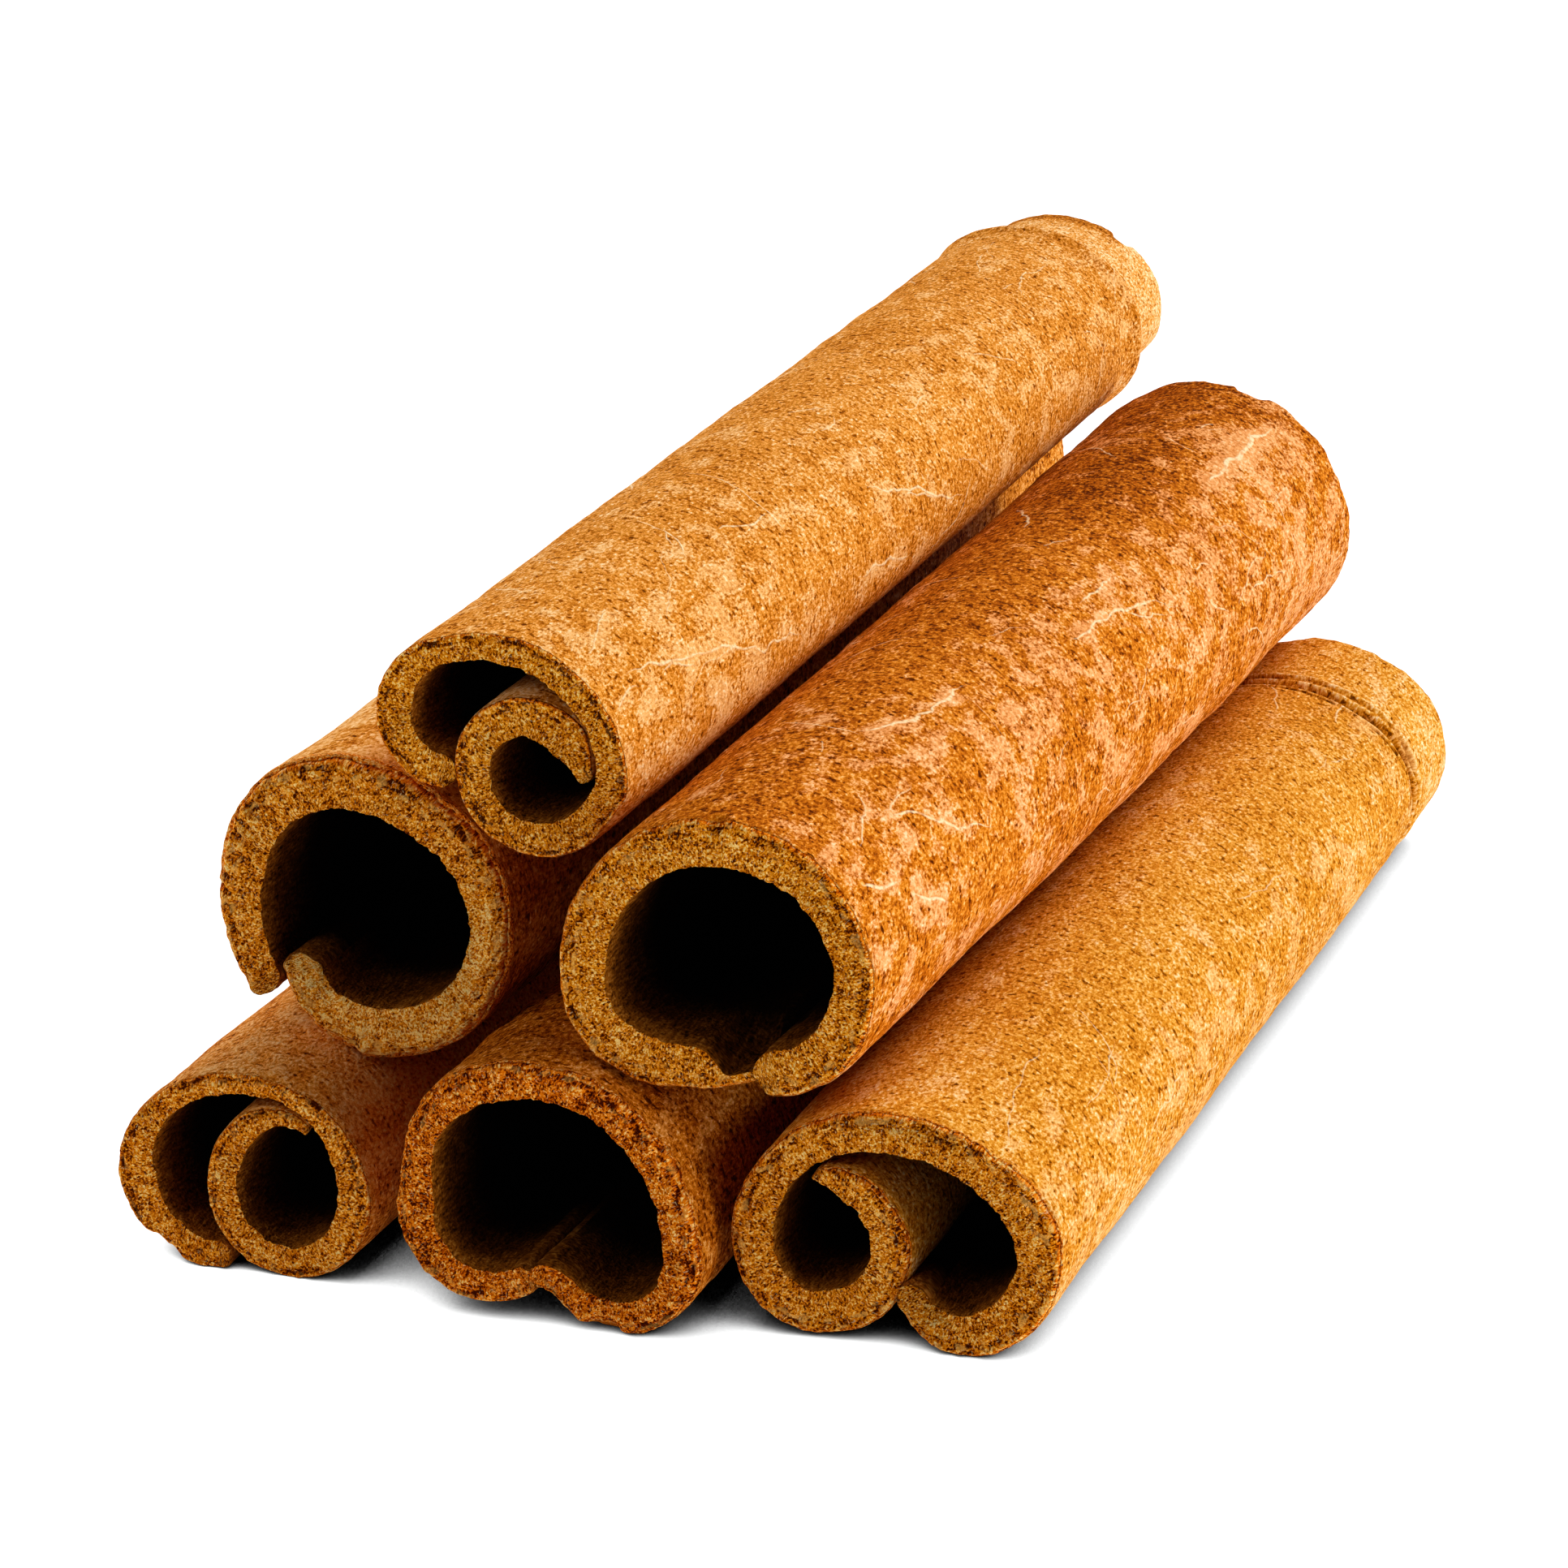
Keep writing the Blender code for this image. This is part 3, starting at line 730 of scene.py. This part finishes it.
    # the sheet's own coordinates in mm, one island for each kind of face
    uv = mesh.uv_layers.new(name="sheet")
    loop_vertex = np.zeros(len(mesh.loops), np.int32)
    mesh.loops.foreach_get("vertex_index", loop_vertex)
    totals = np.zeros(len(mesh.polygons), np.int32)
    mesh.polygons.foreach_get("loop_total", totals)
    loop_kind = np.repeat(face_kind, totals)
    run = s[loop_vertex] + e[loop_vertex] * 1.3 * wall[loop_vertex] * 0.8
    u = np.where(loop_kind == 1, run + 100.0, run)
    v = np.where(loop_kind >= 4, t[loop_vertex] * wall[loop_vertex] + np.where(loop_kind == 5, 400.0, 200.0),
                 y[loop_vertex])
    # a lip's coordinates run on over its edge
    lip = loop_kind == 2
    u = np.where(lip, s[loop_vertex] + np.sign(s[loop_vertex] - 1.0) * (1.0 - t[loop_vertex]) * 1.6 * wall[loop_vertex], u)
    uv.data.foreach_set("uv", np.stack((u, v), 1).astype(np.float32).ravel())

    kept = [("tone", tone), ("across", t), ("edge", edge), ("marbling_and_painted_light", marbling_and_painted_light), ("grey", grey)]
    for number, (offset, shown) in enumerate(lined):
        kept += [("vein%d" % number, offset), ("shown%d" % number, shown)]
    for label, values in kept:
        layer = mesh.attributes.new(label, "FLOAT", "POINT")
        layer.data.foreach_set("value", values.astype(np.float32))
    slots = np.select([face_kind == 1, face_kind == 2, face_kind >= 4], [1, 3, 2], 0).astype(np.int32)
    mesh.polygons.foreach_set("material_index", slots)
    mesh.shade_smooth()
    obj = bpy.data.objects.new("quill_" + name, mesh)
    bpy.context.scene.collection.objects.link(obj)
    return obj


# ---------------------------------------------------------------- materials
class Tree:
    """Short names for building a node tree."""

    def __init__(self, name):
        self.material = bpy.data.materials.new(name)
        self.material.use_nodes = True
        self.nodes, self.links = self.material.node_tree.nodes, self.material.node_tree.links
        self.shader = self.nodes["Principled BSDF"]

    def feed(self, socket, value):
        if isinstance(value, bpy.types.NodeSocket):
            self.links.new(value, socket)
        elif value is not None:
            socket.default_value = value

    def math(self, what, a, b=None, c=None, clamp=False):
        node = self.nodes.new("ShaderNodeMath")
        node.operation, node.use_clamp = what, clamp
        for socket, value in zip(node.inputs, (a, b, c)):
            self.feed(socket, value)
        return node.outputs[0]

    def sheet(self):
        node = self.nodes.new("ShaderNodeUVMap")
        node.uv_map = "sheet"
        return node.outputs[0]

    def attribute(self, name):
        node = self.nodes.new("ShaderNodeAttribute")
        node.attribute_name = name
        return node.outputs["Fac"]

    def scaled(self, vector, size, shift=(0.0, 0.0, 0.0), turn=0.0):
        """Coordinates for a pattern whose cells are size mm."""
        node = self.nodes.new("ShaderNodeMapping")
        self.feed(node.inputs["Vector"], vector)
        node.inputs["Scale"].default_value = (1.0 / size[0], 1.0 / size[1], 1.0)
        node.inputs["Location"].default_value = shift
        node.inputs["Rotation"].default_value = (0.0, 0.0, turn)
        return node.outputs[0]

    def noise(self, vector, detail=2.0, rough=0.5, warp=0.0):
        node = self.nodes.new("ShaderNodeTexNoise")
        node.noise_dimensions = "3D"
        self.feed(node.inputs["Vector"], vector)
        node.inputs["Scale"].default_value = 1.0
        node.inputs["Detail"].default_value = detail
        node.inputs["Roughness"].default_value = rough
        node.inputs["Distortion"].default_value = warp
        return node.outputs[0]

    def span(self, value, a, b, low=0.0, high=1.0, kind="LINEAR"):
        node = self.nodes.new("ShaderNodeMapRange")
        node.interpolation_type = kind
        self.feed(node.inputs["Value"], value)
        for label, number in (("From Min", a), ("From Max", b), ("To Min", low), ("To Max", high)):
            node.inputs[label].default_value = number
        return node.outputs[0]

    def ramp(self, value, stops):
        node = self.nodes.new("ShaderNodeValToRGB")
        node.color_ramp.interpolation = "LINEAR"
        elements = node.color_ramp.elements
        while len(elements) > 1:
            elements.remove(elements[-1])
        elements[0].position, elements[0].color = stops[0][0], (*stops[0][1], 1.0)
        for at, colour in stops[1:]:
            elements.new(at).color = (*colour, 1.0)
        self.feed(node.inputs["Fac"], value)
        return node.outputs["Color"]

    def mix(self, factor, a, b, kind="MIX"):
        node = self.nodes.new("ShaderNodeMix")
        node.data_type, node.blend_type = "RGBA", kind
        self.feed(node.inputs["Factor"], factor)
        for label, value in (("A", a), ("B", b)):
            socket = [i for i in node.inputs if i.name == label and i.type == "RGBA"][0]
            self.feed(socket, (*value, 1.0) if isinstance(value, tuple) else value)
        return [o for o in node.outputs if o.type == "RGBA"][0]

    def bump(self, height, distance, strength=1.0):
        node = self.nodes.new("ShaderNodeBump")
        node.inputs["Distance"].default_value = distance
        node.inputs["Strength"].default_value = strength
        self.feed(node.inputs["Height"], height)
        self.feed(self.shader.inputs["Normal"], node.outputs[0])


def srgb(*c):
    """Linear colour from 0-255 display values."""
    return tuple(((v / 255 + 0.055) / 1.055) ** 2.4 if v > 10 else v / 255 / 12.92 for v in c)


# The outer bark's tones, as display colours of a fully lit face: five from darkest to
# palest for the fibrous bark, three for the pale film that lies on it in patches.
BARKS = {
    "top": (((116, 58, 3), (186, 108, 18), (222, 146, 52), (240, 174, 96), (255, 228, 184)),
            ((226, 152, 76), (244, 190, 124), (255, 230, 188))),
    "mid_right": (((98, 42, 2), (174, 90, 6), (212, 127, 24), (233, 156, 60), (252, 208, 144)),
                  ((222, 136, 62), (243, 176, 116), (255, 220, 182))),
    "mid_left": (((88, 38, 2), (164, 88, 8), (206, 130, 34), (228, 160, 74), (250, 208, 152)),
                 ((208, 132, 50), (232, 168, 92), (250, 212, 160))),
    "low_left": (((92, 40, 2), (172, 90, 8), (214, 130, 34), (234, 162, 74), (252, 210, 152)),
                 ((212, 134, 52), (238, 172, 94), (252, 214, 160))),
    "low_mid": (((84, 36, 2), (162, 84, 6), (204, 122, 26), (228, 152, 60), (248, 200, 140)),
                ((206, 128, 44), (230, 162, 80), (248, 206, 150))),
    "low_right": (((112, 60, 2), (190, 112, 12), (222, 150, 44), (238, 180, 92), (252, 226, 176)),
                  ((226, 154, 78), (244, 194, 130), (255, 232, 196))),
}
FILM = dict(top=0.70, mid_left=0.50, mid_right=0.72, low_left=0.55, low_mid=0.40, low_right=0.50)
BROWN = dict(top=-0.03, mid_left=-0.07, mid_right=-0.05, low_left=-0.06, low_mid=-0.06, low_right=-0.02)
ROWS = dict(top=-0.14, mid_left=-0.16, mid_right=-0.20, low_left=-0.14, low_mid=-0.16, low_right=-0.07)
CUT_WARMTH = dict(top=0.1, mid_left=0.3, mid_right=0.2, low_left=0.4, low_mid=1.0, low_right=0.3)
BEIGE = dict(top=0.15, mid_left=0.75, mid_right=0.60, low_left=0.30, low_mid=0.45, low_right=0.70)
# how far the worn, crumbly look of a cut end reaches over its outer edge, in mm
OVER = dict(top=(0.0, 0.05), mid_left=(0.50, 1.00), mid_right=(0.0, 0.10), low_left=(0.0, 0.08),
            low_mid=(0.10, 0.35), low_right=(0.05, 0.22))


def crumbly(tree, name, seed, uv, across):
    """Colour and height of a broken or sawn face of bark."""
    cells = tree.nodes.new("ShaderNodeTexVoronoi")
    cells.voronoi_dimensions = "3D"
    tree.feed(cells.inputs["Vector"], tree.scaled(uv, (0.095, 0.110), (seed, 1, 0)))
    cells.inputs["Scale"].default_value = 1.0
    granule = tree.math("MULTIPLY_ADD", cells.outputs["Color"], 0.86, -0.43)
    grain = tree.noise(tree.scaled(uv, (0.085, 0.120), (seed, 0, 0)), 1.0, 0.6)
    clump = tree.noise(tree.scaled(uv, (0.42, 0.36), (seed, 2, 0)), 2.0, 0.6)
    broad = tree.noise(tree.scaled(uv, (2.5, 1.6), (seed, 5, 0)), 2.0, 0.5)
    value = tree.math("ADD", tree.math("MULTIPLY_ADD", grain, 1.80, -0.90 + 0.50), granule)
    value = tree.math("ADD", value, tree.math("MULTIPLY_ADD", clump, 1.00, -0.50))
    value = tree.math("ADD", value, tree.math("MULTIPLY_ADD", broad, 0.40, -0.20))
    value = tree.math("ADD", value, tree.attribute("tone"))
    hole = tree.noise(tree.scaled(uv, (0.26, 0.18), (seed, 12, 0)), 1.0)
    pits = tree.span(hole, 0.60, 0.74, 0.0, -0.10 - 0.16 * ROUGH[name])
    value = tree.math("ADD", value, pits)
    plain = tree.ramp(value, [(0.02, srgb(78, 32, 0)), (0.25, srgb(168, 92, 2)), (0.50, srgb(218, 136, 18)),
                              (0.75, srgb(240, 170, 48)), (1.00, srgb(255, 218, 140))])
    warm = tree.ramp(value, [(0.02, srgb(82, 26, 0)), (0.25, srgb(176, 80, 0)), (0.50, srgb(226, 122, 10)),
                             (0.75, srgb(244, 154, 38)), (1.00, srgb(255, 214, 136))])
    if across is None:
        colour = warm
        where = 0.5
    else:
        colour = tree.mix(tree.span(across, 0.90, 0.97, CUT_WARMTH[name], 1.0), plain, warm)
        where = tree.math("MULTIPLY", tree.span(across, 0.45, 0.68), tree.span(across, 0.99, 0.94))
    # beige grains under the skin
    blob = tree.noise(tree.scaled(uv, (0.50, 0.40), (seed, 16, 4)), 0.0)
    blob = tree.math("MULTIPLY", tree.math("MULTIPLY", tree.span(blob, 0.59, 0.67, 0.0, BEIGE[name]), where),
                     tree.span(grain, 0.30, 0.60, 0.5, 1.0))
    colour = tree.mix(blob, colour, srgb(232, 176, 92))
    # pale fibre ends
    fleck = tree.noise(tree.scaled(uv, (0.07, 0.24), (seed, 9, 3), 0.6), 0.0)
    other = tree.noise(tree.scaled(uv, (0.24, 0.07), (seed, 3, 9), 0.3), 0.0)
    fleck = tree.math("MAXIMUM", tree.span(fleck, 0.71, 0.77), tree.span(other, 0.73, 0.79))
    colour = tree.mix(tree.math("MULTIPLY", fleck, 0.45), colour, srgb(252, 220, 168))
    if across is not None:
        # grey bloom, and on low_right's cut end a painted grey shadow, dulls the colour
        bloom_and_shade = tree.math("MULTIPLY", tree.attribute("grey"), tree.span(clump, 0.35, 0.60, 0.4, 1.0))
        shade = tree.mix(1.0, colour, (0.40, 0.44, 0.56), "MULTIPLY")
        colour = tree.mix(tree.math("MULTIPLY", bloom_and_shade, 0.85), colour, shade)
    height = tree.math("MULTIPLY_ADD", clump, 1.1, tree.math("MULTIPLY_ADD", pits, 1.2, grain))
    return colour, tree.math("ADD", height, granule), clump


def bark(name, seed):
    tree = Tree("bark_" + name)
    uv = tree.sheet()
    shift = (seed * 1.7, seed * 0.9, seed * 0.37)
    lean = {"low_right": 0.22, "top": -0.12}.get(name, 0.0)
    fine = tree.noise(tree.scaled(uv, (0.135, 0.30), shift, lean), 2.0, 0.70)
    dash = tree.noise(tree.scaled(uv, (0.30, 0.40), (seed, 6.0, 1.0), lean), 1.0, 0.5)
    mid = tree.noise(tree.scaled(uv, (0.70, 1.50), shift), 2.0, 0.60)
    row = tree.noise(tree.scaled(uv, (0.85, 0.46), shift, lean), 1.5, 0.55)
    speck = tree.noise(tree.scaled(uv, (0.34, 0.30), (seed, 8.0, 2.0), lean), 0.0)
    painted_glint = tree.noise(tree.scaled(uv, (0.14, 0.32), (seed, 5.0, 7.0)), 0.0)
    marbling_and_painted_light = tree.attribute("marbling_and_painted_light")

    value = tree.math("MULTIPLY_ADD", fine, 1.50, -0.75 + 0.50)
    value = tree.math("MULTIPLY_ADD", dash, 0.32, tree.math("ADD", value, -0.16))
    value = tree.math("MULTIPLY_ADD", mid, 0.28, tree.math("ADD", value, -0.14))
    value = tree.math("ADD", value, tree.attribute("tone"))
    ragged = tree.math("MULTIPLY_ADD", fine, 2.1, tree.math("MULTIPLY_ADD", mid, 1.3, -1.70))
    cloud = tree.math("ADD", marbling_and_painted_light, ragged)
    pale = tree.span(cloud, 0.0, 0.70, 0.0, 1.0, "SMOOTHSTEP")
    brown = tree.span(cloud, 0.0, -0.60, 0.0, 1.0, "SMOOTHSTEP")
    value = tree.math("MULTIPLY_ADD", brown, BROWN[name], value)
    open_ = tree.span(pale, 0.0, 1.0, 1.0, 0.40)
    rows = tree.math("MULTIPLY", tree.span(row, 0.58, 0.70), open_)
    value = tree.math("MULTIPLY_ADD", rows, ROWS[name], value)
    dots = tree.math("MULTIPLY", tree.span(speck, 0.66, 0.71), open_)
    value = tree.math("MULTIPLY_ADD", dots, -0.30, value)
    # painted highlight: small pale glints in the bark's colour
    value = tree.math("MULTIPLY_ADD", tree.span(painted_glint, 0.67, 0.76), 0.24, value)

    fibrous, film = BARKS[name]
    colour = tree.ramp(value, [(p, srgb(*c)) for p, c in zip((0.02, 0.27, 0.50, 0.68, 0.98), fibrous)])
    cream = tree.ramp(value, [(p, srgb(*c)) for p, c in zip((0.15, 0.52, 0.95), film)])
    colour = tree.mix(tree.math("MULTIPLY", pale, FILM[name]), colour, cream)

    # thin pale veins, broken here and there
    wobble = tree.math("MULTIPLY_ADD", fine, 0.07, tree.math("MULTIPLY_ADD", mid, 0.14, -0.105))
    vein = None
    for number in range(3):
        offset = tree.math("ABSOLUTE", tree.math("ADD", tree.attribute("vein%d" % number), wobble))
        wide = tree.math("MULTIPLY_ADD", tree.attribute("shown%d" % number), 0.080, -0.026)
        line = tree.span(tree.math("SUBTRACT", wide, offset), -0.03, 0.03)
        vein = line if vein is None else tree.math("MAXIMUM", vein, line)
    vein = tree.math("MULTIPLY", vein, tree.span(dash, 0.36, 0.52, 0.35, 0.85))
    colour = tree.mix(vein, colour, srgb(255, 226, 182))

    # the crumbly cut end reaches a little over the edge
    rough, bumps, clump = crumbly(tree, name, seed, uv, None)
    reach = tree.math("ADD", tree.attribute("edge"), tree.math("MULTIPLY_ADD", clump, OVER[name][1], -0.5 * OVER[name][1]))
    worn = tree.span(reach, OVER[name][0], OVER[name][1], 1.0, 0.0, "SMOOTHSTEP")
    colour = tree.mix(worn, colour, rough)
    tree.feed(tree.shader.inputs["Base Color"], colour)
    tree.feed(tree.shader.inputs["Roughness"], tree.span(value, 0.2, 0.8, 0.85, 0.62))
    tree.shader.inputs["Specular IOR Level"].default_value = 0.02
    height = tree.math("MULTIPLY_ADD", fine, 0.7, tree.math("MULTIPLY", dash, 0.6))
    height = tree.math("MULTIPLY_ADD", rows, -0.20, height)
    height = tree.math("MULTIPLY_ADD", vein, 0.30, height)
    height = tree.math("MULTIPLY_ADD", worn, tree.math("SUBTRACT", bumps, height), height)
    tree.bump(height, 0.00012, 0.9)
    return tree.material


def bore(name, seed):
    tree = Tree("bore_" + name)
    uv = tree.sheet()
    fibre = tree.noise(tree.scaled(uv, (0.20, 0.75), (seed, 0, 0)), 2.0, 0.6)
    grit = tree.noise(tree.scaled(uv, (0.14, 0.18), (seed, 4, 0)), 1.0, 0.5)
    value = tree.math("ADD", tree.math("MULTIPLY_ADD", fibre, 1.2, -0.6 + 0.45),
                      tree.math("MULTIPLY_ADD", grit, 0.9, -0.45))
    value = tree.math("ADD", value, tree.attribute("tone"))
    # painted shade: the bore is brown near the cut ends and goes near black deeper in, over the inner bark's own darker
    # brown
    rim = tree.ramp(value, [(0.1, srgb(70, 34, 2)), (0.5, srgb(176, 106, 26)), (0.9, srgb(226, 164, 80))])
    middle = tree.ramp(value, [(0.1, srgb(38, 17, 1)), (0.5, srgb(116, 64, 12)), (0.9, srgb(172, 110, 40))])
    deep = tree.ramp(value, [(0.1, srgb(8, 4, 1)), (0.5, srgb(24, 12, 4)), (0.9, srgb(44, 26, 10))])
    edge = tree.attribute("edge")
    colour = tree.mix(tree.span(edge, 0.0, 1.6, 0.0, 1.0), rim, middle)
    colour = tree.mix(tree.span(edge, 1.2, 6.0, 0.0, 1.0, "SMOOTHSTEP"), colour, deep)
    tree.feed(tree.shader.inputs["Base Color"], colour)
    tree.feed(tree.shader.inputs["Roughness"], tree.span(value, 0.2, 0.8, 0.95, 0.85))
    tree.shader.inputs["Specular IOR Level"].default_value = 0.02
    tree.bump(tree.math("ADD", fibre, grit), 0.00012, 0.8)
    return tree.material


def cut(name, seed):
    tree = Tree("cut_" + name)
    colour, height, _ = crumbly(tree, name, seed, tree.sheet(), tree.attribute("across"))
    tree.feed(tree.shader.inputs["Base Color"], colour)
    tree.feed(tree.shader.inputs["Roughness"], tree.span(height, 0.5, 1.5, 0.95, 0.80))
    tree.shader.inputs["Specular IOR Level"].default_value = 0.02
    tree.bump(height, 0.00012, 0.9)
    return tree.material


# how far from a cut end a lip reaches its painted shade, in mm
LIP_SHADE_REACH = dict(top=3.0, mid_left=3.2, mid_right=4.0, low_left=3.0, low_mid=8.0, low_right=3.0)


def lip(name, seed):
    tree = Tree("lip_" + name)
    uv = tree.sheet()
    grain = tree.noise(tree.scaled(uv, (0.22, 0.35), (seed, 0, 0)), 2.0, 0.6)
    grit = tree.noise(tree.scaled(uv, (0.12, 0.14), (seed, 4, 0)), 1.0, 0.5)
    value = tree.math("ADD", tree.math("MULTIPLY_ADD", grain, 1.3, -0.65 + 0.5), tree.attribute("tone"))
    value = tree.math("MULTIPLY_ADD", grit, 0.8, tree.math("ADD", value, -0.4))
    rim = tree.ramp(value, [(0.1, srgb(60, 28, 3)), (0.5, srgb(148, 86, 20)), (0.9, srgb(204, 144, 70))])
    deep = tree.ramp(value, [(0.1, srgb(8, 3, 1)), (0.5, srgb(24, 11, 3)), (0.9, srgb(44, 24, 8))])
    # further from the cut ends and on its bore side the lip goes near black: painted shade inside the roll; outside the
    # roll the lip keeps the bark's colour
    fade = tree.math("MULTIPLY", tree.span(tree.attribute("edge"), 0.3, LIP_SHADE_REACH[name], 0.0, 1.0),
                     tree.span(tree.attribute("across"), 0.95, 0.70))
    colour = tree.mix(fade, rim, deep)
    tree.feed(tree.shader.inputs["Base Color"], colour)
    tree.feed(tree.shader.inputs["Roughness"], tree.span(value, 0.2, 0.8, 0.95, 0.82))
    tree.shader.inputs["Specular IOR Level"].default_value = 0.02
    tree.bump(grain, 0.00012, 0.8)
    return tree.material


for name, q in QUILLS.items():
    piece = build(name, q)
    for make in (bark, bore, cut, lip):
        piece.data.materials.append(make(name, q["seed"]))
    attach(piece, "root")
    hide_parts("stick_" + name)

# ---------------------------------------------------------------- floor, light, camera
mesh = bpy.data.meshes.new("floor")
mesh.from_pydata([(-2.5, -2.5, 0), (2.5, -2.5, 0), (2.5, 2.5, 0), (-2.5, 2.5, 0)], [], [(0, 1, 2, 3)])
floor = bpy.data.objects.new("floor", mesh)
floor.location.z = -0.00002
bpy.context.scene.collection.objects.link(floor)
tree = Tree("floor")
tree.shader.inputs["Base Color"].default_value = (0.6, 0.6, 0.6, 1.0)
tree.shader.inputs["Roughness"].default_value = 0.9
tree.shader.inputs["Specular IOR Level"].default_value = 0.1
# a paper lit from below that glows white; ambient occlusion dims its glow near the sticks: a painted contact shadow
near = tree.nodes.new("ShaderNodeAmbientOcclusion")
near.samples = 16
near.inputs["Distance"].default_value = 0.011
painted_light_mask = tree.span(near.outputs["AO"], 0.06, 0.48, 0.0, 1.0, "SMOOTHSTEP")
paper = tree.nodes.new("ShaderNodeEmission")
tree.feed(paper.inputs["Strength"], tree.math("MULTIPLY", painted_light_mask, 1.05))
glow = tree.nodes.new("ShaderNodeEmission")
tree.feed(glow.inputs["Strength"], tree.math("MULTIPLY", painted_light_mask, 0.45))
both = tree.nodes.new("ShaderNodeAddShader")
tree.links.new(tree.shader.outputs[0], both.inputs[0])
tree.links.new(glow.outputs[0], both.inputs[1])
choice = tree.nodes.new("ShaderNodeMixShader")
path = tree.nodes.new("ShaderNodeLightPath")
tree.links.new(path.outputs["Is Camera Ray"], choice.inputs["Fac"])
tree.links.new(both.outputs[0], choice.inputs[1])
tree.links.new(paper.outputs[0], choice.inputs[2])
tree.links.new(choice.outputs[0], tree.nodes["Material Output"].inputs["Surface"])
mesh.materials.append(tree.material)

scene = bpy.context.scene
world = bpy.data.worlds.new("studio")
scene.world = world
world.use_nodes = True
background = world.node_tree.nodes["Background"]
background.inputs["Color"].default_value = (1.0, 1.0, 1.0, 1.0)
background.inputs["Strength"].default_value = 0.01


def sun(name, azimuth, elevation, spread, strength, colour=(1.0, 1.0, 1.0)):
    """A broad soft light from far away. Azimuth 0 is +X and 90 is +Y."""
    light = bpy.data.lights.new(name, "SUN")
    light.energy, light.angle, light.color = strength, math.radians(spread), colour
    lamp = bpy.data.objects.new(name, light)
    lamp.rotation_euler = (0.0, math.radians(90 - elevation), math.radians(azimuth))
    bpy.context.scene.collection.objects.link(lamp)


sun("back", 75, 40, 40, 2.25)
sun("left", 152, 20, 40, 1.35)
sun("right", 0, 15, 35, 1.75)
sun("front", -120, 34, 40, 0.85)

camera = bpy.data.cameras.new("camera")
camera.lens = 139.75
camera.sensor_width = 36.0
camera.clip_start, camera.clip_end = 0.01, 10.0
eye = bpy.data.objects.new("camera", camera)
eye.location = (0.07787, -0.26024, 0.09169)
eye.rotation_euler = (math.radians(90 - 16.82), 0.0, math.radians(17.74))
scene.collection.objects.link(eye)
scene.camera = eye
scene.view_settings.view_transform = "Standard"
scene.view_settings.look = "Medium High Contrast"
